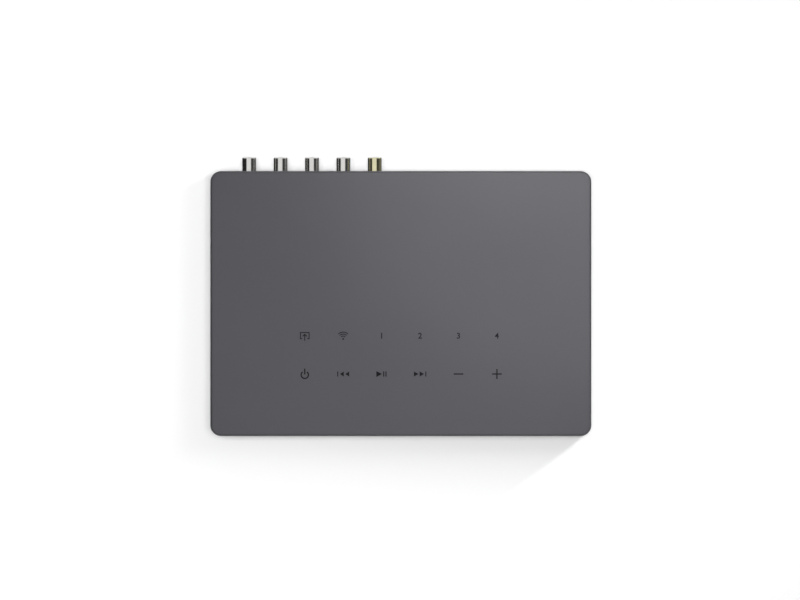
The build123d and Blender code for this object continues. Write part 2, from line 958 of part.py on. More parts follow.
save(optical_shutter_spring, "optical_shutter_spring")

with BuildPart() as optical_emitter:
    discs_on(
        across(room_back + emitter_length / 2),
        [(optical_x, mouth_middle)],
        emitter_radius,
        emitter_length,
    )
save(optical_emitter, "optical_emitter")

# Data socket: a folded metal shell round a plastic tongue with flat contacts under it
usb_rear = port_face - usb_depth
usb_heel_face = usb_rear + usb_wall + usb_heel_depth
usb_inside_width = usb_width - 2 * usb_wall
usb_inside_height = usb_height - 2 * usb_wall
usb_tongue_top = board_top + usb_height - usb_wall - usb_tongue_drop
usb_tongue_bottom = usb_tongue_top - usb_tongue_thickness
usb_pin_middles = [(n - (usb_pin_count - 1) / 2) * usb_pin_pitch for n in range(usb_pin_count)]

with BuildPart() as usb_shell:
    box_on(across(port_face), (usb_x, board_top), (usb_width, usb_height), usb_depth, align=STAND)
    fillet(usb_shell.edges().filter_by(Axis.Y), usb_wall)
    box_on(
        across(port_face + cut_overrun),
        (usb_x, board_top + usb_wall),
        (usb_inside_width, usb_inside_height),
        usb_depth - usb_wall + cut_overrun,
        Mode.SUBTRACT,
        STAND,
    )
save(usb_shell, "usb_shell")

with BuildPart() as usb_tongue:
    box_on(
        across(usb_heel_face),
        (usb_x, board_top + usb_wall),
        (usb_inside_width, usb_inside_height),
        usb_heel_depth,
        align=STAND,
    )
    box_on(
        across(usb_heel_face + usb_tongue_length),
        (usb_x, usb_tongue_bottom),
        (usb_tongue_width, usb_tongue_thickness),
        usb_tongue_length,
        align=STAND,
    )
    chamfer(
        usb_tongue.faces().sort_by(Axis.Y)[-1].edges().filter_by(Axis.X), usb_tongue_thickness / 4
    )
save(usb_tongue, "usb_tongue")

with BuildPart() as usb_contacts:
    for offset_x in usb_pin_middles:
        box_on(
            across(usb_heel_face + usb_pin_length),
            (usb_x + offset_x, usb_tongue_bottom - usb_pin_thickness),
            (usb_pin_width, usb_pin_thickness),
            usb_pin_length,
            align=STAND,
        )
save(usb_contacts, "usb_contacts")

# Ethernet socket: a sheet shield round a plastic insert with eight sprung contacts and two lights
ethernet_floor = board_top + ethernet_port_floor
ethernet_ceiling = ethernet_floor + ethernet_port_height
ethernet_face = port_face - ethernet_shield_wall
ethernet_inside = ethernet_width - 2 * ethernet_shield_wall
ethernet_light_x = ethernet_width / 2 - ethernet_light_inset - ethernet_light_width / 2
ethernet_light_z = board_top + ethernet_light_inset
ethernet_pin_x = [
    ethernet_x + (n - (ethernet_pin_count - 1) / 2) * ethernet_pin_pitch for n in range(ethernet_pin_count)
]


def ethernet_openings(grow):
    """The port with its two latch steps below."""
    with Locations((ethernet_x, ethernet_floor)):
        Rectangle(ethernet_port_width + 2 * grow, ethernet_port_height, align=STAND)
    for width, drop in zip(ethernet_latch_widths, ethernet_latch_drops):
        with Locations((ethernet_x, ethernet_floor - drop)):
            Rectangle(width + 2 * grow, drop, align=STAND)


def ethernet_light_spots(grow):
    """The two lights' rectangles in the lower corners."""
    for side in (-1, 1):
        with Locations((ethernet_x + side * ethernet_light_x, ethernet_light_z - grow)):
            Rectangle(ethernet_light_width + 2 * grow, ethernet_light_height + 2 * grow, align=STAND)


with BuildPart() as ethernet_shield:
    box_on(
        across(port_face),
        (ethernet_x, board_top),
        (ethernet_width, ethernet_height),
        ethernet_depth,
        align=STAND,
    )
    box_on(
        across(ethernet_face),
        (ethernet_x, board_top - cut_overrun),
        (ethernet_inside, ethernet_height - ethernet_shield_wall + cut_overrun),
        ethernet_depth - 2 * ethernet_shield_wall,
        Mode.SUBTRACT,
        STAND,
    )
    with BuildSketch(across(port_face + cut_overrun)):
        ethernet_openings(fit_gap)
        ethernet_light_spots(fit_gap)
    extrude(amount=ethernet_shield_wall + 2 * cut_overrun, mode=Mode.SUBTRACT)
save(ethernet_shield, "ethernet_shield")

with BuildPart() as ethernet_insert:
    box_on(
        across(ethernet_face - pilot_gap),
        (ethernet_x, board_top),
        (ethernet_inside - 2 * pilot_gap, ethernet_height - ethernet_shield_wall - pilot_gap),
        ethernet_depth - 2 * (ethernet_shield_wall + pilot_gap),
        align=STAND,
    )
    with BuildSketch(across(port_face)):
        ethernet_openings(0)
    extrude(amount=ethernet_port_depth, mode=Mode.SUBTRACT)
    with BuildSketch(across(port_face)):
        ethernet_light_spots(pilot_gap)
    extrude(amount=ethernet_light_depth, mode=Mode.SUBTRACT)
save(ethernet_insert, "ethernet_insert")

with BuildPart() as ethernet_contacts:
    with BuildSketch(lengthwise(ethernet_pin_x[0] - ethernet_pin_width / 2)):
        with BuildLine():
            pin_front = port_face - ethernet_pin_setback
            pin_back = pin_front - ethernet_pin_run
            Polyline(
                (pin_front, ethernet_ceiling),
                (pin_front, ethernet_ceiling - ethernet_pin_width),
                (pin_back, ethernet_ceiling - ethernet_pin_drop),
                (pin_back - ethernet_pin_width, ethernet_ceiling - ethernet_pin_drop + ethernet_pin_width),
                (pin_front - 2 * ethernet_pin_width, ethernet_ceiling - ethernet_pin_width),
                (pin_front - 2 * ethernet_pin_width, ethernet_ceiling),
                close=True,
            )
        make_face()
    first_pin = extrude(amount=ethernet_pin_width)
    with Locations(*[(x - ethernet_pin_x[0], 0, 0) for x in ethernet_pin_x[1:]]):
        add(first_pin)
save(ethernet_contacts, "ethernet_contacts")

with BuildPart() as ethernet_lights:
    with BuildSketch(across(port_face - ethernet_shield_wall / 2)):
        ethernet_light_spots(0)
    extrude(amount=ethernet_light_depth - ethernet_shield_wall / 2)
save(ethernet_lights, "ethernet_lights")

# Trigger socket
trigger_z = board_top + trigger_rise
with BuildPart() as trigger_jack:
    box_on(
        across(block_face),
        (trigger_x, board_top),
        (trigger_width, trigger_height),
        trigger_depth,
        align=STAND,
    )
    discs_on(across(port_face), [(trigger_x, trigger_z)], trigger_bush_radius, port_face - block_face)
    discs_on(
        across(port_face + cut_overrun),
        [(trigger_x, trigger_z)],
        trigger_bore_radius,
        trigger_bore_depth + cut_overrun,
        Mode.SUBTRACT,
    )
save(trigger_jack, "trigger_jack")

# Setup button: a cap through the panel, a collar that stops it behind, and a stem into the switch
switch_z = board_top + switch_rise
switch_face = panel_back - switch_setback
collar_face = panel_back - fit_gap
collar_back = collar_face - button_collar_thickness
stem_tip = switch_face - button_stem_bite
with BuildPart() as setup_button:
    discs_on(
        across(panel_face + button_proud),
        [(switch_x, switch_z)],
        button_radius,
        panel_face + button_proud - collar_face,
    )
    chamfer(setup_button.edges().group_by(Axis.Y)[-1], button_edge)
    discs_on(
        across(collar_face),
        [(switch_x, switch_z)],
        button_collar_radius,
        button_collar_thickness,
        sides=coarse_side_count,
    )
    discs_on(
        across(collar_back),
        [(switch_x, switch_z)],
        button_stem_radius,
        collar_back - stem_tip,
        sides=coarse_side_count,
    )
save(setup_button, "setup_button")

with BuildPart() as setup_switch:
    box_on(
        across(switch_face),
        (switch_x, board_top),
        (switch_width, switch_height),
        switch_depth,
        align=STAND,
    )
    discs_on(
        across(switch_face + cut_overrun),
        [(switch_x, switch_z)],
        button_stem_radius + screw_hole_gap,
        button_stem_bite + button_travel + button_stop_gap + cut_overrun,
        Mode.SUBTRACT,
        coarse_side_count,
    )
save(setup_switch, "setup_switch")

# Power inlet: a block with a round well, and its centre pin
inlet_z = board_top + inlet_rise
inlet_floor = port_face - inlet_bore_depth
with BuildPart() as power_inlet:
    box_on(
        across(port_face), (inlet_x, board_top), (inlet_width, inlet_height), inlet_depth, align=STAND
    )
    chamfer(power_inlet.edges().filter_by(Axis.Y).group_by(Axis.Z)[-1], inlet_bore_radius / 3)
    discs_on(
        across(port_face + cut_overrun),
        [(inlet_x, inlet_z)],
        inlet_bore_radius,
        inlet_bore_depth + cut_overrun,
        Mode.SUBTRACT,
    )
    box_on(
        across(inlet_floor + cut_overrun),
        (inlet_x, inlet_z),
        (inlet_tang_side + 2 * pilot_gap, inlet_tang_side + 2 * pilot_gap),
        inlet_tang_length + pilot_gap + cut_overrun,
        Mode.SUBTRACT,
    )
save(power_inlet, "power_inlet")

with BuildPart() as power_inlet_pin:
    discs_on(
        across(port_face - inlet_pin_recess),
        [(inlet_x, inlet_z)],
        inlet_pin_radius,
        inlet_bore_depth - inlet_pin_recess,
    )
    chamfer(power_inlet_pin.edges().group_by(Axis.Y)[-1], inlet_pin_chamfer)
    box_on(
        across(inlet_floor),
        (inlet_x, inlet_z),
        (inlet_tang_side, inlet_tang_side),
        inlet_tang_length,
    )
save(power_inlet_pin, "power_inlet_pin")

# Main board: wide behind the sockets, with a tongue that reaches forward to the front window
with BuildPart() as main_board:
    with BuildSketch(level(board_bottom)):
        with Locations((0, board_wide_front)):
            Rectangle(board_width, board_wide_depth, align=STAND)
        with Locations((0, board_front)):
            Rectangle(board_tongue_width, board_wide_front - board_front, align=STAND)
        fillet(vertices(), board_corner)
        polygon_holes(board_screw_spots, board_screw_radius + screw_hole_gap, coarse_side_count)
        with Locations(*[(x, jack_tail_y) for x in jack_x.values()]):
            Rectangle(jack_tail_slot, jack_tail_slot, mode=Mode.SUBTRACT)
    extrude(amount=board_thickness)
save(main_board, "main_board")

# Streaming module under a tin shield, left of the ribbon, with a plug beside it for each antenna lead
ribbon_x = touch_pitch
module_x = ribbon_x - (socket_width + module_width) / 2 - part_gap
module_y = free_middle + module_y_share * (free_depth - module_depth)
module_top = board_top + module_thickness
plug_x = (module_width + shield_width) / 4
plug_y = module_y + lead_plug_share * module_depth
with BuildPart() as streaming_module:
    with BuildSketch(level(board_top)):
        with Locations((module_x, module_y)):
            RectangleRounded(module_width, module_depth, board_corner / 2)
    extrude(amount=module_thickness)
    discs_on(
        level(module_top),
        [(module_x - plug_x, plug_y), (module_x + plug_x, plug_y)],
        lead_plug_radius,
        lead_plug_height,
        sides=coarse_side_count,
    )
save(streaming_module, "streaming_module")

with BuildPart() as module_shield:
    box_on(level(module_top), (module_x, module_y), (shield_width, shield_depth), shield_height)
    chamfer(module_shield.faces().sort_by(Axis.Z)[-1].edges(), shield_edge)
save(module_shield, "module_shield")

# Antennas on the side walls, and the thin coaxial leads from them to the module
antenna_x = inner_width / 2 - fit_gap
antenna_y = front_y + antenna_front_gap + antenna_length / 2
antenna_z = board_top + antenna_rise
antenna_feed_y = antenna_y + antenna_length / 2 - lead_feed_inset
with BuildPart() as antennas:
    for start in (-antenna_x, antenna_x - antenna_thickness):
        box_on(lengthwise(start), (antenna_y, antenna_z), (antenna_length, antenna_height), antenna_thickness)
save(antennas, "antennas")


def along(start, end, shares):
    """Places between two ends, by their shares of the way."""
    return [start + (end - start) * share for share in shares]


def corner_radii(points):
    """For each inner point of a route, the largest arc that its two runs allow."""
    radii = []
    for before, corner, after in zip(points, points[1:], points[2:]):
        turn = math.radians((corner - before).get_angle(after - corner))
        shorter = min((corner - before).length, (after - corner).length)
        radii.append(lead_arc_share * shorter / math.tan(turn / 2))
    return radii


with BuildPart() as antenna_leads:
    for side in (-1, 1):
        route = [
            Vector(x, y, z)
            for x, y, z in zip(
                along(
                    side * (antenna_x - antenna_thickness),
                    module_x + side * (plug_x + lead_plug_radius),
                    lead_x_shares,
                ),
                along(antenna_feed_y, plug_y, lead_y_shares),
                along(antenna_z, module_top + lead_plug_height / 2, lead_z_shares),
            )
        ]
        radii = corner_radii(route)
        print("antenna lead arcs", [round(radius, 1) for radius in radii])
        with BuildLine() as lead_line:
            FilletPolyline(*route, radius=radii)
        with BuildSketch(Plane(origin=route[0], z_dir=route[1] - route[0])):
            RegularPolygon(lead_radius, wire_side_count)
        sweep(path=lead_line.line)
save(antenna_leads, "antenna_leads")


# Parts on the main board
def board_spot(x_share, y_share, size):
    """The middle of a part of a given size, by shares of the board's free area from its middle."""
    return (x_share * (board_width - size), free_middle + y_share * (free_depth - size))


with BuildPart() as audio_chips:
    for x_share, size in zip(chip_x_shares, chip_sizes):
        box_on(level(board_top), board_spot(x_share, chip_y_share, size), (size, size), chip_height)
save(audio_chips, "audio_chips")

with BuildPart() as power_coils:
    for x_share in coil_x_shares:
        spot = board_spot(x_share, coil_y_share, coil_size)
        box_on(level(board_top), spot, (coil_size, coil_size), coil_height)
    chamfer(power_coils.edges().filter_by(Axis.Z), coil_edge)
save(power_coils, "power_coils")

with BuildPart() as capacitors:
    capacitor_spots = [
        board_spot(x_share, y_share, 2 * capacitor_radius)
        for x_share, y_share in zip(capacitor_x_shares, capacitor_y_shares)
    ]
    discs_on(level(board_top), capacitor_spots, capacitor_radius, capacitor_height, sides=medium_side_count)
save(capacitors, "capacitors")

# Touch board: it hangs under the top, with a foam pad between it and each printed symbol
touch_spots = GridLocations(touch_pitch, touch_pitch, touch_columns, touch_rows)
with BuildPart() as touch_board:
    with BuildSketch(level(touch_board_bottom)):
        with Locations((0, touch_middle_y)):
            RectangleRounded(touch_board_width, touch_board_depth, board_corner)
        polygon_holes(touch_screw_spots, touch_screw_radius + screw_hole_gap, coarse_side_count)
    extrude(amount=touch_board_thickness)
save(touch_board, "touch_board")

with BuildPart() as touch_pads:
    with BuildSketch(level(touch_board_top)):
        with Locations((0, touch_middle_y)):
            with touch_spots:
                Rectangle(touch_pad_size, touch_pad_size)
    extrude(amount=touch_pad_height)
save(touch_pads, "touch_pads")

with BuildPart() as touch_controller:
    box_on(
        level(touch_board_bottom - touch_chip_height),
        (-touch_pitch, touch_middle_y),
        (touch_chip_size, touch_chip_size),
        touch_chip_height,
    )
save(touch_controller, "touch_controller")

# Ribbon between the boards, held in a flat socket on each
ribbon_low = board_top + socket_height / 2
ribbon_high = touch_board_bottom - socket_height / 2
ribbon_end = socket_y + socket_depth / 2 - ribbon_bite
ribbon_far = socket_y + socket_depth / 2 + ribbon_bulge
with BuildPart() as ribbon_sockets:
    box_on(level(board_top), (ribbon_x, socket_y), (socket_width, socket_depth), socket_height)
    box_on(
        level(touch_board_bottom - socket_height),
        (ribbon_x, socket_y),
        (socket_width, socket_depth),
        socket_height,
    )
    for height in (ribbon_low, ribbon_high):
        box_on(
            across(socket_y + socket_depth / 2 + cut_overrun),
            (ribbon_x, height),
            (ribbon_width + 2 * fit_gap, ribbon_thickness + 2 * fit_gap),
            ribbon_bite + fit_gap + cut_overrun,
            Mode.SUBTRACT,
        )
save(ribbon_sockets, "ribbon_sockets")

with BuildPart() as ribbon_cable:
    with BuildLine() as ribbon_line:
        FilletPolyline(
            (ribbon_x, ribbon_end, ribbon_low),
            (ribbon_x, ribbon_far, ribbon_low),
            (ribbon_x, ribbon_far, ribbon_high),
            (ribbon_x, ribbon_end, ribbon_high),
            radius=ribbon_bend,
        )
    with BuildSketch(across(ribbon_end)):
        with Locations((ribbon_x, ribbon_low)):
            Rectangle(ribbon_width, ribbon_thickness)
    sweep(path=ribbon_line.line)
save(ribbon_cable, "ribbon_cable")

# Front window: a smoked lens with a flange inside the wall, and the lamp and the receiver behind it
lens_z = board_top + lens_rise
with BuildPart() as front_lens:
    with BuildSketch(across(inner_front)):
        with Locations((0, lens_z)):
            SlotOverall(lens_width, lens_height)
    extrude(amount=cover_wall - lens_recess)
    with BuildSketch(across(inner_front + lens_flange_thickness)):
        with Locations((0, lens_z)):
            SlotOverall(lens_width + 2 * lens_flange, lens_height + 2 * lens_flange)
    extrude(amount=lens_flange_thickness)
save(front_lens, "front_lens")

receiver_face = board_front + receiver_dome_radius / 2
with BuildPart() as remote_receiver:
    box_on(
        across(receiver_face + receiver_depth),
        (receiver_offset, board_top),
        (receiver_width, receiver_height),
        receiver_depth,
        align=STAND,
    )
    discs_on(
        level(lens_z - receiver_dome_radius),
        [(receiver_offset, receiver_face)],
        receiver_dome_radius,
        2 * receiver_dome_radius,
    )
save(remote_receiver, "remote_receiver")

with BuildPart() as status_lamp:
    box_on(
        across(board_front + lamp_depth),
        (-lamp_offset, board_top),
        (lamp_width, lamp_height),
        lamp_depth,
        align=STAND,
    )
    chamfer(status_lamp.edges().group_by(Axis.Z)[-1], lamp_depth / 5)
save(status_lamp, "status_lamp")
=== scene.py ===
# %% [markdown]
# # A network music streamer, dressed for its picture
# A streamer is a low box that takes music from the home network and hands it to an amplifier. This one has
# a satin moulded cover with touch symbols printed on it, five phono jacks that stand out past its rear
# edge, and a row of sockets behind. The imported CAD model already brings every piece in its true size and
# place. What is left for Blender is what CAD leaves out: finishes, print, polished curves, and light.

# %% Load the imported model
import json
import math

import bmesh
import bpy
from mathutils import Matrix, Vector


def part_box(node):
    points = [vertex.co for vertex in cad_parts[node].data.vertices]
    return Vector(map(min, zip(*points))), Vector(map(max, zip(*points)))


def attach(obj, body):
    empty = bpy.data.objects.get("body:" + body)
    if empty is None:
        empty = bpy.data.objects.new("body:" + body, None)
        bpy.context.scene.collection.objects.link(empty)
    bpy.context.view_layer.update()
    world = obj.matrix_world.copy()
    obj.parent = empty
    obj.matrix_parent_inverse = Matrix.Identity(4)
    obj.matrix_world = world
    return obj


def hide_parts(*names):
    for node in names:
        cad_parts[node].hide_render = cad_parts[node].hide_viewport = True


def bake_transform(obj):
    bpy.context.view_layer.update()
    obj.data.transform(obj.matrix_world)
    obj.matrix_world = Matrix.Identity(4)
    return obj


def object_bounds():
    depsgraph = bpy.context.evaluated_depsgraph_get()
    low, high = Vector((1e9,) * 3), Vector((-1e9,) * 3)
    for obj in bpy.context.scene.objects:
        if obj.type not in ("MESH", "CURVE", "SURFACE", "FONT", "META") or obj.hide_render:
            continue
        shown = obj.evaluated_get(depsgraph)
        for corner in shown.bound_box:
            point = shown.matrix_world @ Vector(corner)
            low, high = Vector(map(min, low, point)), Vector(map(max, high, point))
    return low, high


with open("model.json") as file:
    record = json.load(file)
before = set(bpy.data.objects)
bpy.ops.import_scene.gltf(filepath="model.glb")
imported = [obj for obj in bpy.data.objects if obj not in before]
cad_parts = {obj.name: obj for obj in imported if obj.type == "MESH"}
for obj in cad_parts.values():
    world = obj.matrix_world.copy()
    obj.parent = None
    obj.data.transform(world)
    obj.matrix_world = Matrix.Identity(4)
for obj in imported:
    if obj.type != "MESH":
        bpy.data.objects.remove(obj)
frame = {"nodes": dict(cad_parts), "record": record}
cad_box = [list(corner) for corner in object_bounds()]
mm = 0.001
record = frame["record"]
body_of = {node: body for body, nodes in record["behaviour"]["bodies"].items() for node in nodes}
slot_of = {row["node"]: row["material_slot"] for row in record["subparts"]}

# %% [markdown]
# ## Where the camera stands
# The photograph looks straight down, and the box shows no side at all, so it was taken from far away with a
# long lens. A camera close above would show the walls leaning outwards. The camera is put eight metres
# above the top face, and the lens follows from one ratio: the picture is 800 pixels wide, and 1.6565 of
# them cover a millimetre of the top face.

# %% Camera
picture_width = 800
pixels_per_mm = 1.6565
camera_distance = 8.0
sensor_width = 36.0
view_reach = 40.0
top_height = cad_box[1][2] / mm
camera_x = -0.51
camera_y = -1.98

camera_data = bpy.data.cameras.new("plan camera")
camera_data.sensor_width = sensor_width
camera_data.lens = sensor_width * camera_distance / (picture_width / pixels_per_mm * mm)
camera_data.clip_end = view_reach
camera = bpy.data.objects.new("plan camera", camera_data)
camera.location = (camera_x * mm, camera_y * mm, camera_distance + top_height * mm)
bpy.context.scene.collection.objects.link(camera)
bpy.context.scene.camera = camera
print("lens", round(camera_data.lens, 1), "mm")

# %% [markdown]
# ## A small language for nodes
# Finishes, the studio and the repeated pieces are all node trees. Clicking them together by hand can't be
# read later, and a script that makes each node and link in its own line is long. So two small classes do
# it. A Signal is one socket, and adding or multiplying signals puts down the Math nodes. A Recipe is one
# tree, and its node method takes a node's type, its settings, and then the values or signals of its
# sockets.


# %% Signals and recipes
def maths(operation):
    """The two methods that put a Math node behind a Python operator, for either order of its terms."""

    def forward(self, other):
        return self.recipe.node("ShaderNodeMath", {"operation": operation}, {0: self, 1: other})

    def reflected(self, other):
        return self.recipe.node("ShaderNodeMath", {"operation": operation}, {0: other, 1: self})

    return forward, reflected


class Signal:
    """One output socket of a recipe, with the arithmetic of the Math node."""

    def __init__(self, recipe, socket):
        self.recipe = recipe
        self.socket = socket

    __add__, __radd__ = maths("ADD")
    __sub__, __rsub__ = maths("SUBTRACT")
    __mul__, __rmul__ = maths("MULTIPLY")


class Recipe:
    """A node tree that is written one node at a time."""

    def __init__(self, tree):
        self.tree = tree
        tree.nodes.clear()

    def node(self, kind, settings=None, sockets=None, output=0):
        """Adds a node, its settings and then its sockets. A list of signals goes to one socket together."""
        made = self.tree.nodes.new(kind)
        for name, value in (settings or {}).items():
            if name == "stops":
                self.set_stops(made.color_ramp, value)
            else:
                setattr(made, name, value)
        for key, value in (sockets or {}).items():
            for part in value if isinstance(value, list) else [value]:
                if isinstance(part, Signal):
                    self.tree.links.new(part.socket, made.inputs[key])
                else:
                    made.inputs[key].default_value = part
        return Signal(self, made.outputs[output]) if made.outputs else made

    def set_stops(self, ramp, stops):
        """Gives a colour ramp its stops, each a place from 0 to 1 and a grey or a colour."""
        while len(ramp.elements) < len(stops):
            ramp.elements.new(1.0)
        for element, (place, colour) in zip(ramp.elements, stops):
            element.position = place
            element.color = (*colour, 1.0) if isinstance(colour, tuple) else (colour, colour, colour, 1.0)

    def ramp(self, factor, stops):
        """A colour ramp fed by a signal."""
        return self.node("ShaderNodeValToRGB", {"stops": stops}, {"Fac": factor})

    def map_range(self, value, low, high, new_low=0.0, new_high=1.0):
        """A smooth step of a signal from one range to another."""
        return self.node(
            "ShaderNodeMapRange",
            {"interpolation_type": "SMOOTHSTEP"},
            {"Value": value, "From Min": low, "From Max": high, "To Min": new_low, "To Max": new_high},
        )


# %% [markdown]
# ## The studio
# The background of the photograph is pure white and the box throws one pale shadow down and to the left,
# with a crisp slanting edge that fades as it leaves the box. One small lamp would give a shadow of one
# strength that ends at a line, and a big soft one would blur the slanting edge. A tall and narrow strip
# does both: seen from the floor it is narrow from side to side, so the slanting edge stays crisp, and tall,
# so each step away from the wall hides less of it. The strip is bent over the box in eight panels, so that
# each can have its own power: how the shadow fades is then set panel by panel, and the highest one is weak.
#
# A sun straight above and a fill from behind bring the rest up to white. Two panels overhead lift the paper
# on the left. They hang apart, so that no wall hides both at once, which would leave a dark line along its
# foot. The paper glows a little far from the box, where the lamps fade, so that it has no visible end. Seen
# from below it is clear, so that the underside can be looked at.

# %% Floor
scene = bpy.context.scene
scene.view_settings.view_transform = "Standard"
scene.view_settings.look = "None"
floor_half = 12.0
floor_white = 0.9
lit_from = 0.34
lit_fully = 0.9
lit_level = 0.5

floor_mesh = bpy.data.meshes.new("studio floor")
floor_corners = [(-1, -1), (1, -1), (1, 1), (-1, 1)]
floor_mesh.from_pydata([(x * floor_half, y * floor_half, 0) for x, y in floor_corners], [], [(0, 1, 2, 3)])
floor = bpy.data.objects.new("studio_floor", floor_mesh)
scene.collection.objects.link(floor)
floor.visible_glossy = False
paper = bpy.data.materials.new("studio paper")
paper.use_nodes = True
paper_recipe = Recipe(paper.node_tree)
paper_top = paper_recipe.node("ShaderNodeBsdfDiffuse", {}, {"Color": (floor_white,) * 3 + (1,)})
paper_place = paper_recipe.node("ShaderNodeTexCoord", {}, {}, "Object")
away = paper_recipe.node("ShaderNodeVectorMath", {"operation": "LENGTH"}, {0: paper_place}, "Value")
paper_glow = paper_recipe.map_range(away, lit_from, lit_fully) * lit_level
paper_lit = paper_recipe.node("ShaderNodeEmission", {}, {"Strength": paper_glow})
paper_top = paper_recipe.node("ShaderNodeAddShader", {}, {0: paper_top, 1: paper_lit})
paper_below = paper_recipe.node("ShaderNodeBsdfTransparent")
below = paper_recipe.node("ShaderNodeNewGeometry", {}, {}, "Backfacing")
paper_shader = paper_recipe.node("ShaderNodeMixShader", {}, {0: below, 1: paper_top, 2: paper_below})
paper_recipe.node("ShaderNodeOutputMaterial", {}, {"Surface": paper_shader})
floor_mesh.materials.append(paper)
print("floor", 2 * floor_half, "m wide")


# %% Lamps
def lamp(name, kind, place, aim, power, **settings):
    """A lamp at a place, turned towards another place, both in metres."""
    data = bpy.data.lights.new(name, kind)
    data.energy = power
    for setting, value in settings.items():
        setattr(data, setting, value)
    made = bpy.data.objects.new(name, data)
    made.visible_camera = False
    made.location = place
    made.rotation_euler = (Vector(aim) - Vector(place)).to_track_quat("-Z", "Y").to_euler()
    scene.collection.objects.link(made)
    return made


def unseen_lamp(*facts, **settings):
    """A lamp that lights matt surfaces and leaves no bright spot in gloss."""
    made = lamp(*facts, **settings)
    made.visible_glossy = False
    return made


# %% Lamps in place
sun_power = 1.6
sun_angle = math.radians(5)
unseen_lamp("overhead sun", "SUN", (0, 0, 2), (0, 0, 0), sun_power, angle=sun_angle)

overhead_power = 0.87
overhead_shape = {"shape": "DISK", "size": 0.2, "spread": math.radians(44)}
overhead_aim = (-0.50, 0.10, 0)
overhead_places = [(0.05, -0.04, 2.2), (-0.30, 0.05, 2.2)]
overheads = [
    unseen_lamp("overhead panel", "AREA", place, overhead_aim, overhead_power, **overhead_shape)
    for place in overhead_places
]

fill_power = 1.5
fill_place = (0.1, 1.5, 1.2)
fill_shape = {"shape": "RECTANGLE", "size": 0.9, "size_y": 0.3}
unseen_lamp("rear fill", "AREA", fill_place, (0, 0, 0), fill_power, **fill_shape)

strip_distance = 1.2
strip_width = 0.05
strip_side = math.radians(43)
strip_first_rise = math.radians(28)
strip_step = math.radians(8)
strip_low_aim = Vector((0.25, -0.20, 0))
strip_high_aim = Vector((0.12, 0.0, 0))
strip_shape = {"shape": "RECTANGLE", "size": strip_width, "size_y": strip_step * strip_distance}
strip_shape["spread"] = math.radians(60)
strip_powers = [0.170, 0.136, 0.119, 0.091, 0.091, 0.096, 0.130, 0.035]
for number, power in enumerate(strip_powers):
    rise = strip_first_rise + number * strip_step
    aim = strip_low_aim.lerp(strip_high_aim, number / (len(strip_powers) - 1))
    flat = math.cos(rise)
    towards = Vector((flat * math.sin(strip_side), flat * math.cos(strip_side), math.sin(rise)))
    place = aim + towards * strip_distance
    unseen_lamp("key strip " + str(number + 1), "AREA", place, aim, power, **strip_shape)
print(len(strip_powers), "panels in the key strip")

# %% [markdown]
# The top face of the photograph is lightest at its upper right and loses a third of its brightness to the
# lower left. That is the wide, blurred reflection of near soft lamps in a satin surface. A matt surface
# would not show it, so three round lamps light gloss only, and light linking later keeps them off the
# polished jacks, where they would burn out. They overlap, seen from below, so each hangs a little higher
# than the one before: lamps that lie in one plane hide parts of each other.

# %% Glow
glow_powers = {(0.0, 0.0, 0.200): 0.12, (0.1, 0.1, 0.206): 0.26, (0.1, 0.2, 0.212): 0.34}
glow_size = 0.3
glows = []
for place, power in glow_powers.items():
    aim = (place[0], place[1], 0.0)
    glow = lamp("satin glow", "AREA", place, aim, power, shape="DISK", size=glow_size)
    glow.visible_diffuse = False
    glows.append(glow)
print(len(glows), "lamps that light gloss only")

# %% [markdown]
# ## What polished metal sees
# A polished jack shows the room rather than its own colour, so it needs a room worth seeing. In the
# photograph each jack has one bright band with dark flanks. The surroundings therefore answer by the kind
# of ray: the camera sees plain paper white, matt surfaces get an even fill, and glossy ones see a studio
# with a bright ceiling, dark sides and a soft panel before and behind the object. The ceiling leans a
# little to one side and the right side is lit low down, because the photographed bands are not quite in the
# middle, and the right flanks are greyer than the left ones.

# %% Surroundings
world = bpy.data.worlds.new("studio surroundings")
scene.world = world
world.use_nodes = True
room = Recipe(world.node_tree)
ambient_fill = 0.125
ceiling_level = 0.9
ceiling_lean = 0.12
wall_level = 0.02
direction = room.node("ShaderNodeTexCoord", {}, {}, "Generated")
split = room.node("ShaderNodeSeparateXYZ", {}, {"Vector": direction}, "X")
across, along, upward = [Signal(room, split.socket.node.outputs[axis]) for axis in "XYZ"]
ceiling_light = room.map_range(upward - across * ceiling_lean, low=0.74, high=0.86)
low_right = room.map_range(upward, low=0.6, high=-0.3, new_low=0.03, new_high=0.17)
side_light = wall_level + room.map_range(across, low=0.2, high=0.8) * low_right
from_middle = room.node("ShaderNodeMath", {"operation": "ABSOLUTE"}, {0: along})
end_light = room.map_range(from_middle, low=0.35, high=0.6)
end_level = room.map_range(upward, low=-0.15, high=0.15, new_low=0.9, new_high=0.5)
seen = ceiling_light * ceiling_level + (1 - ceiling_light) * (side_light + end_light * end_level)
rays = room.node("ShaderNodeLightPath", {}, {}, "Is Camera Ray")
glossy = Signal(room, rays.socket.node.outputs["Is Glossy Ray"])
level = glossy * seen + (1 - glossy) * (rays + (1 - rays) * ambient_fill)
surroundings = room.node("ShaderNodeBackground", {}, {"Color": (1, 1, 1, 1), "Strength": level})
room.node("ShaderNodeOutputWorld", {}, {"Surface": surroundings})
print("surroundings with", len(world.node_tree.nodes), "nodes")

# %% [markdown]
# ## Finishes
# Real surfaces differ first in how they were made: moulded in a textured tool, painted with powder, plated,
# rolled, cut or cast. Each family here is one function that takes a colour, a gloss and the size of its
# grain, so the thirty finishes stay short. The grain is a noise on Object coordinates, which are metres
# here, so a grain of a fifth of a millimetre has a scale of five thousand. The noise moves colour and
# roughness a little and raises the surface by a few microns, which is what makes plastic look moulded and
# not drawn.


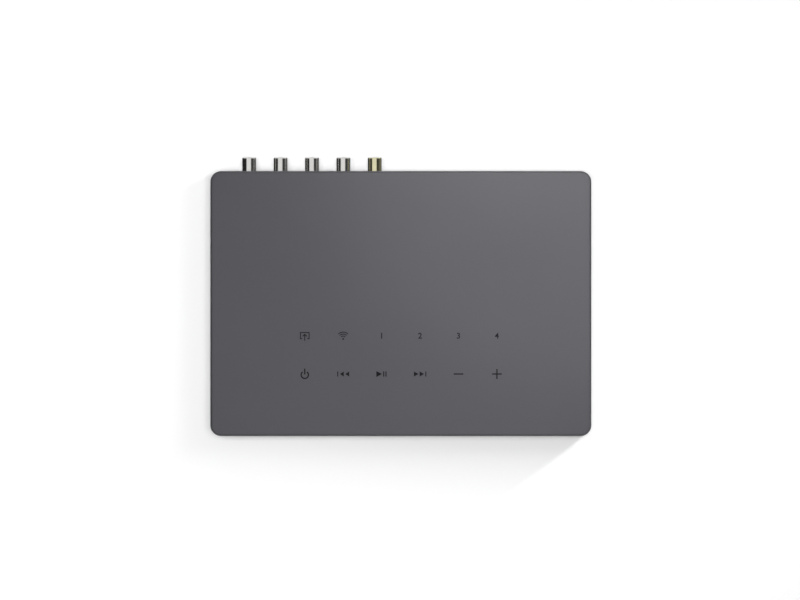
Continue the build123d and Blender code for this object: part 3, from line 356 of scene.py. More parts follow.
# %% Families of finish
def grain_of(recipe, size, stretch=(1, 1, 1), detail=2.0):
    """A noise between 0 and 1 whose spots are about size millimetres wide, longer along a small stretch."""
    where = recipe.node("ShaderNodeTexCoord", {}, {}, "Object")
    where = recipe.node("ShaderNodeMapping", {"vector_type": "POINT"}, {"Vector": where, "Scale": stretch})
    sockets = {"Vector": where, "Scale": 1 / (size * mm), "Detail": detail}
    return recipe.node("ShaderNodeTexNoise", {"normalize": True}, sockets, "Fac")


def tinted(recipe, factor, colour, spread):
    """A colour that gets up to a share of spread darker or lighter with the factor."""
    dark = tuple(channel * (1 - spread) for channel in colour)
    light = tuple(min(1.0, channel * (1 + spread)) for channel in colour)
    return recipe.ramp(factor, [(0.3, dark), (0.7, light)])


def raised(recipe, height, depth, strength=1.0):
    """A bump of a depth in millimetres."""
    return recipe.node(
        "ShaderNodeBump", {}, {"Height": height, "Distance": depth * mm, "Strength": strength}, "Normal"
    )


def finish(name, build, **constants):
    """A material whose principled shader gets the sockets that build returns, then the plain constants."""
    material = bpy.data.materials.new(name)
    material.use_nodes = True
    recipe = Recipe(material.node_tree)
    sockets = build(recipe)
    sockets.update(constants)
    shader = recipe.node("ShaderNodeBsdfPrincipled", {}, sockets)
    recipe.node("ShaderNodeOutputMaterial", {}, {"Surface": shader})
    return material


def moulded(name, colour, roughness, grain=0.3, depth=0.004, spread=0.06, **constants):
    """Plastic from a textured tool: a fine grain that shows in colour, gloss and relief."""

    def build(recipe):
        fine = grain_of(recipe, grain)
        broad = grain_of(recipe, 18.0)
        return {
            "Base Color": tinted(recipe, fine * 0.6 + broad * 0.4, colour, spread),
            "Roughness": roughness - 0.04 + 0.08 * broad,
            "Normal": raised(recipe, fine, depth),
        }

    return finish(name, build, **constants)


def metal(name, colour, roughness, stretch=(1, 1, 1), grain=0.4, depth=0.001, spread=0.04, **constants):
    """Bare or plated metal: drawn or turned lines along the stretch, and a gloss that wanders a little."""

    def build(recipe):
        lines = grain_of(recipe, grain, stretch)
        broad = grain_of(recipe, 6.0)
        return {
            "Base Color": tinted(recipe, broad, colour, spread),
            "Roughness": roughness * 0.75 + roughness * 0.5 * lines,
            "Normal": raised(recipe, lines, depth),
            "Metallic": 1.0,
        }

    return finish(name, build, **constants)


finishes = {}
print("finish families are ready")

# %% [markdown]
# ### The cover
# The cover is moulded and then coated with a satin paint. It is grey with a breath of violet, and smooth:
# its grain is far below what the photograph resolves, but in a close view it stops the top from looking
# like a flat fill. The gloss wanders slowly over the top, as a sprayed coat's does.


# %% Cover and base
cover_grey = (0.0662, 0.0646, 0.0738)


def satin_coat(recipe):
    """A sprayed satin coat: fine flecks, and a gloss that wanders over centimetres."""
    fleck = grain_of(recipe, 0.12, detail=3.0)
    drift = grain_of(recipe, 60.0)
    peel = grain_of(recipe, 1.1)
    return {
        "Base Color": tinted(recipe, fleck * 0.5 + drift * 0.5, cover_grey, 0.05),
        "Roughness": 0.31 + 0.04 * drift + 0.02 * fleck,
        "Normal": raised(recipe, fleck * 0.6 + peel * 0.4, 0.0015),
    }


finishes["housing"] = finish("satin coat", satin_coat, **{"Specular IOR Level": 0.35})
finishes["base_plastic"] = moulded("spark-eroded base", (0.028, 0.028, 0.030), 0.58, grain=0.5, depth=0.02)


def powder_coat(recipe):
    """A baked powder coat: an orange-peel relief, with a little sparkle."""
    peel = grain_of(recipe, 0.7, detail=1.0)
    speck = grain_of(recipe, 0.15)
    return {
        "Base Color": tinted(recipe, speck, (0.020, 0.020, 0.022), 0.2),
        "Roughness": 0.42 + 0.1 * speck,
        "Normal": raised(recipe, peel * 0.8 + speck * 0.2, 0.02),
    }


finishes["panel_paint"] = finish("powder coat", powder_coat)


def rubber_skin(recipe):
    """Moulded rubber: matt, slightly dusty where it is rough."""
    pores = grain_of(recipe, 0.25, detail=4.0)
    dust = grain_of(recipe, 5.0, detail=4.0)
    return {
        "Base Color": recipe.ramp(dust, [(0.35, (0.016, 0.016, 0.017)), (0.75, (0.045, 0.044, 0.042))]),
        "Roughness": 0.74 + 0.18 * dust,
        "Normal": raised(recipe, pores, 0.02),
    }


finishes["rubber"] = finish("foot rubber", rubber_skin)

# %% [markdown]
# ### The jacks and the sockets
# The four analogue jacks are nickel plated and the digital one is gold plated, so that nobody mixes them
# up. Turned metal keeps faint rings from the lathe. They run round the jack, so the noise is squeezed along
# the jack's own axis. The inserts are dyed, glossy plastic: white and red for left and right, orange for
# digital.

# %% Metals and dyed plastics
turned = (0.02, 1, 0.02)
finishes["nickel"] = metal("turned nickel", (0.74, 0.73, 0.71), 0.13, turned, 0.12)
finishes["gold"] = metal("turned gold plate", (0.75, 0.715, 0.475), 0.13, turned, 0.12)
finishes["contact_gold"] = metal("contact gold", (0.85, 0.62, 0.27), 0.22, grain=0.2)
finishes["sheet_steel"] = metal("tinned sheet steel", (0.62, 0.62, 0.61), 0.3, (1, 0.03, 1), 0.15)
finishes["dark_steel"] = metal("blackened steel", (0.075, 0.073, 0.075), 0.32, grain=0.2, depth=0.004)
finishes["screw_steel"] = metal("zinc plated steel", (0.50, 0.50, 0.49), 0.3, grain=0.2, depth=0.003)
finishes["spring_steel"] = metal("spring wire", (0.55, 0.55, 0.55), 0.25, grain=0.1)
finishes["ferrite"] = moulded("pressed ferrite", (0.09, 0.09, 0.095), 0.66, grain=0.15, depth=0.01)
finishes["aluminium_can"] = metal("aluminium can", (0.75, 0.76, 0.77), 0.28, (1, 1, 0.05), 0.1)
film_black = (0.05, 0.045, 0.04)
finishes["antenna_copper"] = moulded("black film over copper", film_black, 0.3, grain=0.4, depth=0.002)
finishes["insert_white"] = moulded("white insert", (0.75, 0.74, 0.71), 0.28, depth=0.002, spread=0.03)
finishes["insert_red"] = moulded("red insert", (0.48, 0.018, 0.020), 0.28, depth=0.002)
finishes["insert_orange"] = moulded("orange insert", (0.72, 0.20, 0.022), 0.28, depth=0.002)
finishes["socket_plastic"] = moulded("socket plastic", (0.016, 0.016, 0.017), 0.36, grain=0.25, depth=0.006)
finishes["socket_ivory"] = moulded("ivory socket", (0.66, 0.60, 0.46), 0.42, depth=0.003)
finishes["chip_black"] = moulded("chip resin", (0.022, 0.022, 0.023), 0.62, grain=0.12, depth=0.006)
finishes["foam"] = moulded("soft foam", (0.05, 0.05, 0.052), 0.9, grain=0.5, depth=0.15, spread=0.3)
finishes["lead_grey"] = moulded("lead jacket", (0.10, 0.10, 0.11), 0.4, grain=0.2, depth=0.003)
finishes["ribbon_white"] = moulded("ribbon film", (0.70, 0.70, 0.68), 0.35, grain=0.4, depth=0.002)

# %% [markdown]
# ### Windows, lamps and boards
# The front lens is smoked acrylic, nearly black until a lamp behind it lights. A polished near-black makes
# that look without any see-through maths. The lamps, the light pipes and the receiver are small and clear
# or glossy, so they get their colour and a layer of lacquer. A circuit board is lacquer over copper: the
# tracks show as paths of another shade that stand a little proud.


# %% Boards, windows and lamps
track_pitch = 2.4


def lacquered_board(lacquer, track):
    """Solder lacquer over copper tracks: square paths that stand proud of the board."""

    def build(recipe):
        where = recipe.node("ShaderNodeTexCoord", {}, {}, "Object")
        flat = {"Vector": where, "Scale": (1, 1, 0)}
        where = recipe.node("ShaderNodeMapping", {"vector_type": "POINT"}, flat)
        paths = recipe.node(
            "ShaderNodeTexVoronoi",
            {"distance": "CHEBYCHEV", "feature": "F1"},
            {"Vector": where, "Scale": 1 / (track_pitch * mm), "Randomness": 0.8},
            "Distance",
        )
        ridge = recipe.map_range(paths, 0.30, 0.36) - recipe.map_range(paths, 0.44, 0.50)
        return {
            "Base Color": recipe.ramp(ridge, [(0.0, lacquer), (1.0, track)]),
            "Roughness": 0.38 - 0.1 * ridge,
            "Normal": raised(recipe, ridge, 0.03),
        }

    return build


finishes["circuit_board"] = finish("green board", lacquered_board((0.008, 0.055, 0.030), (0.02, 0.12, 0.06)))
finishes["black_board"] = finish("black board", lacquered_board((0.010, 0.010, 0.011), (0.03, 0.03, 0.032)))
lacquer = {"Coat Weight": 1.0, "Coat Roughness": 0.04}
finishes["smoked_lens"] = moulded("smoked acrylic", (0.006, 0.005, 0.006), 0.07, grain=0.6, depth=0.0)
finishes["receiver_black"] = moulded("receiver resin", (0.014, 0.006, 0.010), 0.18, depth=0.0, **lacquer)
finishes["clear_lamp"] = moulded("clear lamp", (0.78, 0.80, 0.82), 0.10, depth=0.001, **lacquer)
finishes["light_green"] = moulded("green light pipe", (0.10, 0.48, 0.16), 0.15, depth=0.001, **lacquer)
finishes["emitter_red"] = moulded("red emitter", (0.55, 0.02, 0.015), 0.15, depth=0.001, **lacquer)
print(len(finishes), "finishes made")

# %% [markdown]
# ## Finishing the carried-over pieces
# Every CAD node gets the finish of its slot in the record. The flat ones are then done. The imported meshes
# are loose triangles, though, so on a round piece each facet would catch the light by itself. Nodes whose
# round walls show are copied: the copy is welded, its coplanar triangles are joined, and its curves are
# smoothed up to an angle, which leaves real corners sharp. A weighted normal keeps the big flat faces flat.

# %% Carried-over pieces
weld_gap = 0.002 * mm
flat_angle = math.radians(0.4)
smooth_angle = math.radians(32)
for node, piece in frame["nodes"].items():
    piece.data.materials.clear()
    piece.data.materials.append(finishes[slot_of[node]])


def plain_mesh(thing):
    """The plain mesh of an object, with its modifiers, its letters or its bevel worked out."""
    bpy.context.view_layer.update()
    return bpy.data.meshes.new_from_object(thing.evaluated_get(bpy.context.evaluated_depsgraph_get()))


def shade(mesh):
    """Welds a mesh, joins what is flat, and smooths every edge that turns by less than the smooth angle."""
    shell = bmesh.new()
    shell.from_mesh(mesh)
    bmesh.ops.remove_doubles(shell, verts=shell.verts, dist=weld_gap)
    bmesh.ops.dissolve_limit(shell, angle_limit=flat_angle, verts=shell.verts, edges=shell.edges)
    for face in shell.faces:
        face.smooth = True
    for edge in shell.edges:
        edge.smooth = len(edge.link_faces) == 2 and edge.calc_face_angle() < smooth_angle
    shell.to_mesh(mesh)
    shell.free()


def add_piece(name, mesh, body, *nodes, slot=None):
    """Links a finished mesh as a piece on a body, in place of the nodes that it stands for."""
    piece = bpy.data.objects.new(name, mesh)
    scene.collection.objects.link(piece)
    weighted = piece.modifiers.new("flat faces stay flat", "WEIGHTED_NORMAL")
    weighted.keep_sharp = True
    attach(piece, body)
    if nodes:
        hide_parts(*nodes)
    return piece


def smooth_copy(node):
    """A welded and smoothed copy of a CAD node, which stands for it."""
    mesh = frame["nodes"][node].data.copy()
    mesh.name = "smooth_" + node
    shade(mesh)
    return add_piece("smooth_" + node, mesh, body_of[node], node, slot=slot_of[node])


jacks = ["line_in_left", "line_in_right", "line_out_left", "line_out_right", "digital_out"]
round_nodes = ["top_cover", "base_cover", "rear_panel", "front_lens"]
round_nodes += ["line_in_housing", "line_out_housing", "digital_out_housing"]
round_nodes += [jack + "_" + part for jack in jacks for part in ("shell", "insert")]
round_nodes += ["trigger_jack", "power_inlet", "power_inlet_pin", "setup_button", "optical_shutter"]
round_nodes += ["optical_housing", "usb_shell", "usb_tongue", "ethernet_shield", "ethernet_lights"]
for node in round_nodes:
    smooth_copy(node)
print(len(round_nodes), "nodes smoothed")

# %% [markdown]
# ## Which lamp lights what
# The glow belongs to the satin cover alone: in polished metal it would burn out. The overhead panels are
# there for the paper on the left, and on the cover they would make the dark left side as light as the
# middle. Light linking gives each lamp a list: the glow's list takes in the cover and nothing else, and the
# overhead panels' list leaves out only the cover.

# %% Light linking
cover = bpy.data.objects["smooth_top_cover"]
glow_group = bpy.data.collections.new("lit by the satin glow")
glow_group.objects.link(cover)
for glow in glows:
    glow.light_linking.receiver_collection = glow_group
shade_group = bpy.data.collections.new("out of the overhead panel")
shade_group.objects.link(cover)
shade_group.collection_objects[0].light_linking.link_state = "EXCLUDE"
for panel in overheads:
    panel.light_linking.receiver_collection = shade_group

# %% [markdown]
# ## Touch symbols
# The cover has no buttons. Twelve symbols are silk-screened on it, and a board under the cover feels the
# finger. Screen print is a real layer of ink, about thirty microns thick, so each symbol is a very thin
# plate that starts just inside the top face. A picture texture would be simpler, but it would blur in a
# close view. Lines are drawn with the same pen everywhere, and mitred where they turn.

# %% The pen
pen_width = 0.54
bold_pen = 0.78
ink_height = 0.03
ink_root = 0.01


def line(points, width=pen_width):
    """The outline of a drawn line with square ends, mitred at its corners."""
    points = [Vector(point) for point in points]
    steps = [(after - before).normalized() for before, after in zip(points, points[1:])]
    steps = [steps[0], *steps, steps[-1]]
    sides = []
    for before, after in zip(steps, steps[1:]):
        across = (before + after).orthogonal().normalized()
        sides.append(across * (width / 2 / across.dot(before.orthogonal())))
    left = [point + side for point, side in zip(points, sides)]
    right = [point - side for point, side in zip(points, sides)]
    return left + right[::-1]


def arc(radius, start, end, middle=(0, 0), steps=24):
    """Points on an arc, with its angles in degrees."""
    turns = [math.radians(start + (end - start) * step / steps) for step in range(steps + 1)]
    return [(middle[0] + radius * math.cos(turn), middle[1] + radius * math.sin(turn)) for turn in turns]


def bar(left, right, low, high):
    """A filled rectangle."""
    return [(left, low), (right, low), (right, high), (left, high)]


def arrow_head(base, tip, half_height):
    """A filled triangle that points from its base to its tip, along x."""
    return [(base, -half_height), (tip, 0), (base, half_height)]


print("pen", pen_width, "mm wide")

# %% [markdown]
# The symbols are drawn in millimetres round their own middle. The media marks are the generic ones: power,
# back, play and pause, forward, less and more, four numbered presets, an input arrow, and plain radio waves
# for the wireless input. Digits come from Blender's own built-in font.

# %% Symbols
triangle_half = 1.5
symbols = {
    "power": [line(arc(2.2, 126, 414, (0, -0.5)), bold_pen), line([(0, -0.3), (0, 3.25)], bold_pen)],
    "previous": [
        bar(-3.6, -3.0, -triangle_half, triangle_half),
        arrow_head(0.35, -2.0, triangle_half),
        arrow_head(3.6, 1.25, triangle_half),
    ],
    "play_pause": [arrow_head(-3.2, 0.3, 1.75), bar(0.95, 1.6, -1.6, 1.6), bar(2.3, 2.95, -1.6, 1.6)],
    "next": [
        arrow_head(-3.7, -0.95, triangle_half),
        arrow_head(-0.25, 2.5, triangle_half),
        bar(3.2, 3.8, -triangle_half, triangle_half),
    ],
    "minus": [bar(-2.9, 2.9, -bold_pen / 2, bold_pen / 2)],
    "plus": [
        bar(-2.9, -bold_pen / 2, -bold_pen / 2, bold_pen / 2),
        bar(-bold_pen / 2, bold_pen / 2, -3.0, 3.0),
        bar(bold_pen / 2, 2.9, -bold_pen / 2, bold_pen / 2),
    ],
    "input": [
        line([(-1.5, -1.6), (-2.6, -1.6), (-2.6, 2.1), (2.6, 2.1), (2.6, -1.6), (1.5, -1.6)]),
        line([(0, -2.9), (0, 1.0)]),
        line([(-1.3, -0.2), (0, 1.1), (1.3, -0.2)]),
    ],
    "radio_waves": [
        line(arc(0.35, 0, 350, (0, -1.7)), 0.45),
        line(arc(1.7, 45, 135, (0, -1.7))),
        line(arc(2.9, 45, 135, (0, -1.7))),
        line(arc(4.1, 45, 135, (0, -1.7))),
    ],
}
column_pitch = 23.2
row_upper = -23.75
row_lower = -46.65
columns = [(place - 2.5) * column_pitch for place in range(6)]
places = dict(zip(["power", "previous", "play_pause", "next", "minus", "plus"], columns))
spots = {name: (x, row_lower) for name, x in places.items()}
spots.update({"input": (columns[0], row_upper), "radio_waves": (columns[1], row_upper)})
print("rows", row_upper, "and", row_lower, "mm, columns every", column_pitch, "mm")


# %% Ink on a surface
def screen_ink(name, colour, roughness):
    """Screen ink, with a slightly uneven body where the mesh of the screen shows."""

    def build(recipe):
        weave = grain_of(recipe, 0.1)
        return {"Base Color": tinted(recipe, weave, colour, 0.2), "Roughness": roughness + 0.1 * weave}

    return finish(name, build, **{"Specular IOR Level": 0.12})


dark_ink = screen_ink("dark screen ink", (0.006, 0.006, 0.007), 0.6)
pale_ink = screen_ink("pale screen ink", (0.42, 0.42, 0.43), 0.5)
panel_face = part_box("rear_panel")[1].y / mm


def on_top(across, along, height):
    """A place on the cover, height above its top face, in millimetres."""
    return Vector((across, along, top_height + height)) * mm


def on_rear(across, along, height):
    """A place on the rear panel as somebody behind it reads it, height off its face."""
    return Vector((-across, panel_face + height, along)) * mm


def print_plate(name, outlines, middle, surface=on_top, ink=dark_ink):
    """A thin plate of ink for each outline, all in one piece that rides with the chassis."""
    plate = bmesh.new()
    for outline in outlines:
        rings = []
        for height in (-ink_root, ink_height):
            corners = [surface(middle[0] + x, middle[1] + y, height) for x, y in outline]
            rings.append([plate.verts.new(corner) for corner in corners])
        plate.faces.new(rings[1])
        plate.faces.new(rings[0][::-1])
        count = len(outline)
        for corner in range(count):
            after = (corner + 1) % count
            plate.faces.new([rings[0][corner], rings[0][after], rings[1][after], rings[1][corner]])
    bmesh.ops.recalc_face_normals(plate, faces=plate.faces)
    mesh = bpy.data.meshes.new(name)
    plate.to_mesh(mesh)
    plate.free()
    mesh.materials.append(ink)
    return add_piece(name, mesh, "chassis")


for name, outlines in symbols.items():
    print_plate("print_" + name, outlines, spots[name])
print(len(symbols), "drawn symbols")

# %% Preset numbers
capital_share = 0.73
digit_height = 3.55
digit_swell = 0.09


def print_words(name, words, height, swell, middle, surface=on_top, ink=dark_ink):
    """Words of one capital height, their strokes swollen a little, as a thin plate of ink."""
    text = bpy.data.curves.new(name, "FONT")
    text.body = words
    text.align_x = "CENTER"
    text.align_y = "CENTER"
    text.size = height * mm / capital_share
    text.offset = swell * mm
    text.extrude = (ink_height + ink_root) / 2 * mm
    drawn = bpy.data.objects.new(name, text)
    scene.collection.objects.link(drawn)
    mesh = plain_mesh(drawn)
    bpy.data.objects.remove(drawn)
    for vertex in mesh.vertices:
        across, along, up = vertex.co / mm
        vertex.co = surface(middle[0] + across, middle[1] + along, up + (ink_height - ink_root) / 2)
    mesh.materials.clear()
    mesh.materials.append(ink)
    return add_piece(name, mesh, "chassis")


for preset in range(1, 5):
    name = "print_preset_" + str(preset)
    print_words(name, str(preset), digit_height, digit_swell, (columns[preset + 1], row_upper))
print("4 preset numbers")

# %% [markdown]
# ## Print on the rear panel
# Whoever plugs the box in looks at its back, so the sockets are named there in small pale capitals. A
# bracket over each pair of jacks says IN or OUT, L and R name the jacks of a pair, and a polarity sign over
# the power inlet says that its pin is the positive one. It is the same thin ink as on the cover. Only the
# function that lays it on a surface differs: from behind, right and left change places.

# %% Rear print
fine_pen = 0.22
dot_pen = 0.35
small_height = 1.7
small_swell = 0.02
names_row = 29.6
polarity_row = 30.0
pair_row = 33.2
rear_names = {"DIGITAL": "digital_out_shell", "OPTICAL": "optical_housing", "SERVICE": "usb_shell"}
rear_names.update({"NETWORK": "ethernet_shield", "TRIGGER": "trigger_jack", "SETUP": "setup_button"})
rear_names.update({"L_in": "line_in_left_shell", "R_in": "line_in_right_shell"})
rear_names.update({"L_out": "line_out_left_shell", "R_out": "line_out_right_shell"})


def rear_place(node):
    """How far to the reader's right the middle of a node lies, seen from behind."""
    low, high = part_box(node)
    return (low.x + high.x) / -2 / mm


def small_print(name, words, across, row):
    """Small pale capitals on the rear panel."""
    print_words(name, words, small_height, small_swell, (across, row), on_rear, pale_ink)


for key, node in rear_names.items():
    words = key.partition("_")[0]
    name = "print_" + (key if "_" in key else key.lower())
    small_print(name, words, rear_place(node), names_row)

word_half = 3.2
pair_drop = 1.3
pair_middles = {}
for words in ("IN", "OUT"):
    left, right = [rear_place("line_" + words.lower() + "_" + side + "_shell") for side in ("left", "right")]
    pair_middles[words] = (left + right) / 2
    reach = (left - right) / 2
    bracket = []
    for side in (-1, 1):
        end = side * reach
        bracket.append(line([(side * word_half, 0), (end, 0), (end, -pair_drop)], fine_pen))
    name = "print_pair_" + words.lower()
    print_plate(name + "_bracket", bracket, (pair_middles[words], pair_row), on_rear, pale_ink)
    small_print(name, words, pair_middles[words], pair_row)

sign_reach = 3.6
sign_half = 0.45
polarity = [line(arc(1.1, 45, 315), fine_pen), line(arc(0.2, 0, 350), dot_pen)]
polarity += [line([(0.3, 0), (2.7, 0)], fine_pen), line([(-2.7, 0), (-1.2, 0)], fine_pen)]
for side in (-sign_reach, sign_reach):
    polarity.append(line(arc(0.9, 0, 358, (side, 0)), fine_pen))
    polarity.append(bar(side - sign_half, side + sign_half, -fine_pen / 2, fine_pen / 2))
polarity.append(bar(sign_reach - fine_pen / 2, sign_reach + fine_pen / 2, -sign_half, sign_half))
print_plate("print_polarity", polarity, (rear_place("power_inlet_pin"), polarity_row), on_rear, pale_ink)
print(len(rear_names) + len(pair_middles), "words and a polarity sign")

# %% [markdown]
# ## Screws
# Six screws show: four under the base that hold the box together, and two between the paired jacks. All are
# the same kind, a domed head with a cross recess, in two sizes. Those between the jacks have low heads, so
# that from above they don't show past the rear edge. A screw follows a rule and repeats, which is what
# Geometry Nodes are for. The recipe gets its sizes by name, builds one screw that stands up, stamps it on
# every point it is given and turns it to face down or to the rear. The dome is a cylinder cut by a ball,
# the recess is two crossed slabs cut out of it, and the thread is a spiral with a three-sided profile.


# %% Recipes that grow pieces
def shape_recipe(name, sizes):
    """A Geometry Nodes recipe with a named input for each size, and the signals of those inputs."""
    tree = bpy.data.node_groups.new(name, "GeometryNodeTree")
    tree.interface.new_socket("Geometry", in_out="INPUT", socket_type="NodeSocketGeometry")
    for size in sizes:
        tree.interface.new_socket(size, in_out="INPUT", socket_type="NodeSocketFloat")
    tree.interface.new_socket("Geometry", in_out="OUTPUT", socket_type="NodeSocketGeometry")
    recipe = Recipe(tree)
    given = recipe.node("NodeGroupInput").socket.node
    return recipe, {socket.name: Signal(recipe, socket) for socket in given.outputs if socket.name}


def vector(recipe, x=0.0, y=0.0, z=0.0):
    """A vector from three signals or numbers."""
    return recipe.node("ShaderNodeCombineXYZ", {}, {"X": x, "Y": y, "Z": z})


def moved(recipe, shape, x=0.0, y=0.0, z=0.0):
    """A shape pushed along by three signals or numbers."""
    sockets = {"Geometry": shape, "Translation": vector(recipe, x, y, z)}
    return recipe.node("GeometryNodeTransform", {}, sockets)


def stamped(recipe, points, shape, turn, material):
    """Ends a recipe: stamps the shape on every point, makes it real and gives it its finish."""
    turned_to = recipe.node("FunctionNodeEulerToRotation", {}, {"Euler": vector(recipe, turn)})
    sockets = {"Points": points, "Instance": shape, "Rotation": turned_to}
    stamps = recipe.node("GeometryNodeInstanceOnPoints", {}, sockets)
    real = recipe.node("GeometryNodeRealizeInstances", {}, {"Geometry": stamps})
    done = recipe.node("GeometryNodeSetMaterial", {}, {"Geometry": real, "Material": material})
    recipe.node("NodeGroupOutput", {}, {"Geometry": done})
    return recipe.tree


def grow(name, tree, places, sizes):
    """Runs a recipe on loose points, given in millimetres, and returns the plain mesh that it grows."""
    seed = bpy.data.meshes.new(name + "_points")
    seed.from_pydata([Vector(place) * mm for place in places], [], [])
    host = bpy.data.objects.new(name + "_points", seed)
    scene.collection.objects.link(host)
    modifier = host.modifiers.new("recipe", "NODES")
    modifier.node_group = tree
    for item in tree.interface.items_tree:
        if item.name in sizes:
            modifier[item.identifier] = sizes[item.name]
    mesh = plain_mesh(host)
    host.modifiers.remove(modifier)
    bpy.data.objects.remove(host)
    mesh.name = name
    print(name, "grew", len(mesh.vertices), "vertices")
    return mesh


# %% Screw head
screw_sizes = ["Head Radius", "Head Height", "Dome Radius", "Shank Radius", "Shank Length", "Tilt"]
screw, given = shape_recipe("domed cross screw", screw_sizes)
head_radius, head_height, dome_radius = [given[size] for size in screw_sizes[:3]]
shank_radius, shank_length = given["Shank Radius"], given["Shank Length"]


def rod(recipe, vertices, radius, depth):
    """An upright cylinder with closed ends, half of it above the origin."""
    sockets = {"Vertices": vertices, "Radius": radius, "Depth": depth}
    return recipe.node("GeometryNodeMeshCylinder", {}, sockets, "Mesh")


def cut(recipe, operation, sockets):
    """An exact Boolean of meshes."""
    settings = {"operation": operation, "solver": "EXACT"}
    return recipe.node("GeometryNodeMeshBoolean", settings, sockets, "Mesh")


recess_long = 1.15
recess_short = 0.26
slab_height = 1.2
slab_middle = 1.05
drum = moved(screw, rod(screw, 32, head_radius, head_height), z=head_height * 0.5)
ball_sockets = {"Segments": 64, "Rings": 48, "Radius": dome_radius}
ball = screw.node("GeometryNodeMeshUVSphere", {}, ball_sockets, "Mesh")
ball = moved(screw, ball, z=head_height - dome_radius)
head = cut(screw, "INTERSECT", {1: [drum, ball]})
slabs = []
for share_x, share_y in ((recess_long, recess_short), (recess_short, recess_long)):
    size = vector(screw, head_radius * share_x, head_radius * share_y, head_height * slab_height)
    slab = screw.node("GeometryNodeMeshCube", {}, {"Size": size}, "Mesh")
    slabs.append(moved(screw, slab, z=head_height * slab_middle))
head = cut(screw, "DIFFERENCE", {0: head, 1: slabs})
print("screw head with", len(screw.tree.nodes), "nodes")

# %% Screw shank and thread
core_share = 0.84
thread_share = 0.86
tooth_share = 0.14
thread_reach = 0.94
thread_turns = 10.0
shank_root = 0.1
shank = rod(screw, 20, shank_radius * core_share, shank_length)
shank = moved(screw, shank, z=shank_length * -0.5 + shank_root * mm)
ridge = screw.node(
    "GeometryNodeCurveSpiral",
    {},
    {
        "Resolution": 20,
        "Rotations": thread_turns,
        "Start Radius": shank_radius * thread_share,
        "End Radius": shank_radius * thread_share,
        "Height": shank_length * thread_reach,
    },
)
tooth_sockets = {"Resolution": 3, "Radius": shank_radius * tooth_share}
tooth = screw.node("GeometryNodeCurvePrimitiveCircle", {}, tooth_sockets)
thread_sockets = {"Curve": ridge, "Profile Curve": tooth, "Fill Caps": True}
thread = screw.node("GeometryNodeCurveToMesh", {}, thread_sockets)
thread = moved(screw, thread, z=shank_length * -1.0)
whole = screw.node("GeometryNodeJoinGeometry", {}, {"Geometry": [head, shank, thread]})
screw_tree = stamped(screw, given["Geometry"], whole, given["Tilt"], finishes["dark_steel"])
print("screw recipe with", len(screw_tree.nodes), "nodes")


# %% Screws in place
dome_share = 0.45
cover_screw_reach = (107.1, 72.1)
cover_screw_seat = 9.0
panel_screw_row = 22.0


def screw_set(node, places, radius, height, shank, length, tilt):
    """One set of screws of one size, in millimetres, in place of a CAD node."""
    sag = height * dome_share
    dome = (radius * radius + sag * sag) / (2 * sag)
    lengths = [radius, height, dome, shank, length]
    sizes = {size: value * mm for size, value in zip(screw_sizes, lengths)}
    sizes["Tilt"] = tilt
    mesh = grow(node + "_turned", screw_tree, places, sizes)
    shade(mesh)
    return add_piece(node + "_turned", mesh, body_of[node], node, slot=slot_of[node])


body_middle = sum(corner.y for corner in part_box("top_cover")) / 2 / mm


def four_corners(reach_x, reach_y, height):
    """Four places under the box, as far from its middle as the two reaches."""
    return [(x, body_middle + y, height) for x in (-reach_x, reach_x) for y in (-reach_y, reach_y)]


cover_places = four_corners(*cover_screw_reach, cover_screw_seat)
screw_set("cover_screws", cover_places, radius=2.75, height=2.0, shank=1.45, length=12.0, tilt=math.pi)
panel_places = [(-across, panel_face, panel_screw_row) for across in pair_middles.values()]
screw_set("panel_screws", panel_places, radius=2.5, height=0.85, shank=1.3, length=8.0, tilt=-math.pi / 2)
print(len(cover_places) + len(panel_places), "screws in place")

# %% [markdown]
# ## Feet
# Four rubber feet keep the box off the table. Such a foot is a ring that carries the load round a shallow
# dish, with finer rings in the dish that grip. It is round, so the recipe is made of round parts: the rim
# and the finer rings are profiles carried round circles, and the floor of the dish and the stud that is
# pushed into the base are short cylinders.

# %% Foot recipe
foot_sizes = {"Foot Radius": 8.0, "Foot Height": 3.0, "Rim Width": 2.4, "Dish Depth": 0.8}
foot_sizes.update({"Stud Radius": 3.0, "Stud Height": 1.2})
foot, given = shape_recipe("dished rubber foot", foot_sizes)
foot_radius, foot_height, rim_width = given["Foot Radius"], given["Foot Height"], given["Rim Width"]
dish_depth, stud_radius, stud_height = given["Dish Depth"], given["Stud Radius"], given["Stud Height"]
rim_fillet = 0.5
bead_radius = 0.3
grip_shares = (0.2, 0.36, 0.52)
dish_gap = 0.1
stud_root = 0.05
foot_reach = (91.0, 56.0)


def ring(recipe, radius, profile):
    """A profile carried round a circle."""
    circle = recipe.node("GeometryNodeCurvePrimitiveCircle", {}, {"Resolution": 64, "Radius": radius})
    return recipe.node("GeometryNodeCurveToMesh", {}, {"Curve": circle, "Profile Curve": profile})


rim_box = {"Width": rim_width, "Height": foot_height}
rim_profile = foot.node("GeometryNodeCurvePrimitiveQuadrilateral", {}, rim_box)
rim_round = {"Curve": rim_profile, "Radius": rim_fillet * mm, "Count": 4}
rim_profile = foot.node("GeometryNodeFilletCurve", {"mode": "POLY"}, rim_round)
rim = moved(foot, ring(foot, foot_radius - rim_width * 0.5, rim_profile), z=foot_height * 0.5)
dish = rod(foot, 64, foot_radius - rim_width * 0.5, foot_height - dish_depth - dish_gap * mm)
dish = moved(foot, dish, z=foot_height * 0.5 + dish_depth * 0.5)
bead = foot.node("GeometryNodeCurvePrimitiveCircle", {}, {"Resolution": 8, "Radius": bead_radius * mm})
grips = [moved(foot, ring(foot, foot_radius * share, bead), z=dish_depth) for share in grip_shares]
stud = rod(foot, 32, stud_radius, stud_height)
stud = moved(foot, stud, z=foot_height + stud_height * 0.5 - stud_root * mm)
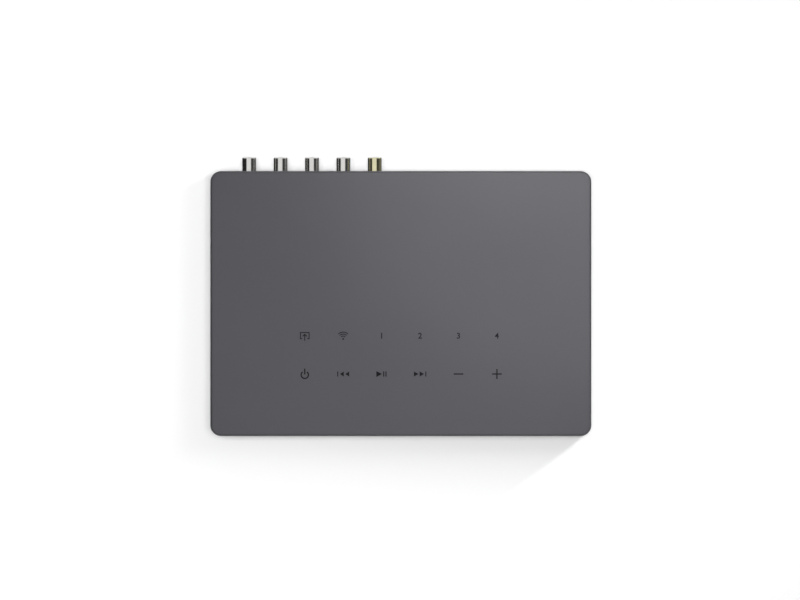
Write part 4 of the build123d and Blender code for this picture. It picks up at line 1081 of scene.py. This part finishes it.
whole = foot.node("GeometryNodeJoinGeometry", {}, {"Geometry": [rim, dish, stud, *grips]})
foot_tree = stamped(foot, given["Geometry"], whole, 0.0, finishes["rubber"])
print("foot recipe with", len(foot_tree.nodes), "nodes")

# %% Feet in place
foot_places = four_corners(*foot_reach, 0.0)
foot_lengths = {size: value * mm for size, value in foot_sizes.items()}
foot_mesh = grow("feet_dished", foot_tree, foot_places, foot_lengths)
shade(foot_mesh)
add_piece("feet_dished", foot_mesh, "chassis", "rubber_feet", slot="rubber")

# %% [markdown]
# ## The shutter's spring
# Behind the optical port's flap sits a spring of wire two tenths of a millimetre thick. One leg lies behind
# the flap and moves with it, and the other rests on the port's ceiling. It is one curve: a straight leg,
# almost three turns round the flap's pin, and another straight leg.

# %% Spring
coil_start = Vector((0.3213, 73.6, 21.85))
coil_length = 0.9775
coil_radius = 0.58
coil_turns = 2.875
coil_first = math.radians(225)
coil_steps = 70
ceiling_leg = 1.4
shutter_leg = 3.6
wire_radius = 0.1


def coil_point(share):
    """A point on the coil's middle line, from its first end at 0 to its last at 1."""
    turn = coil_first + math.tau * coil_turns * share
    offset = (coil_length * share, coil_radius * math.cos(turn), coil_radius * math.sin(turn))
    return coil_start + Vector(offset)


coil = [coil_point(step / coil_steps) for step in range(coil_steps + 1)]
ceiling_end = coil[0] + (coil[0] - coil[1]).normalized() * ceiling_leg
shutter_end = coil[-1] + (coil[-1] - coil[-2]).normalized() * shutter_leg
wire = bpy.data.curves.new("spring wire", "CURVE")
wire.dimensions = "3D"
wire.bevel_depth = wire_radius * mm
wire.bevel_resolution = 2
wire.use_fill_caps = True
path = wire.splines.new("POLY")
path.points.add(len(coil) + 1)
for point, place in zip(path.points, [ceiling_end, *coil, shutter_end]):
    point.co = (*(place * mm), 1.0)
bent = bpy.data.objects.new("spring wire", wire)
scene.collection.objects.link(bent)
spring_mesh = plain_mesh(bent)
bpy.data.objects.remove(bent)
shade(spring_mesh)
spring_mesh.materials.clear()
spring_mesh.materials.append(finishes["spring_steel"])
spring = bpy.data.objects.new("shutter_spring_wire", spring_mesh)
scene.collection.objects.link(spring)
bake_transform(spring)
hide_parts("optical_shutter_spring")
print("spring of", len(spring_mesh.polygons), "faces")
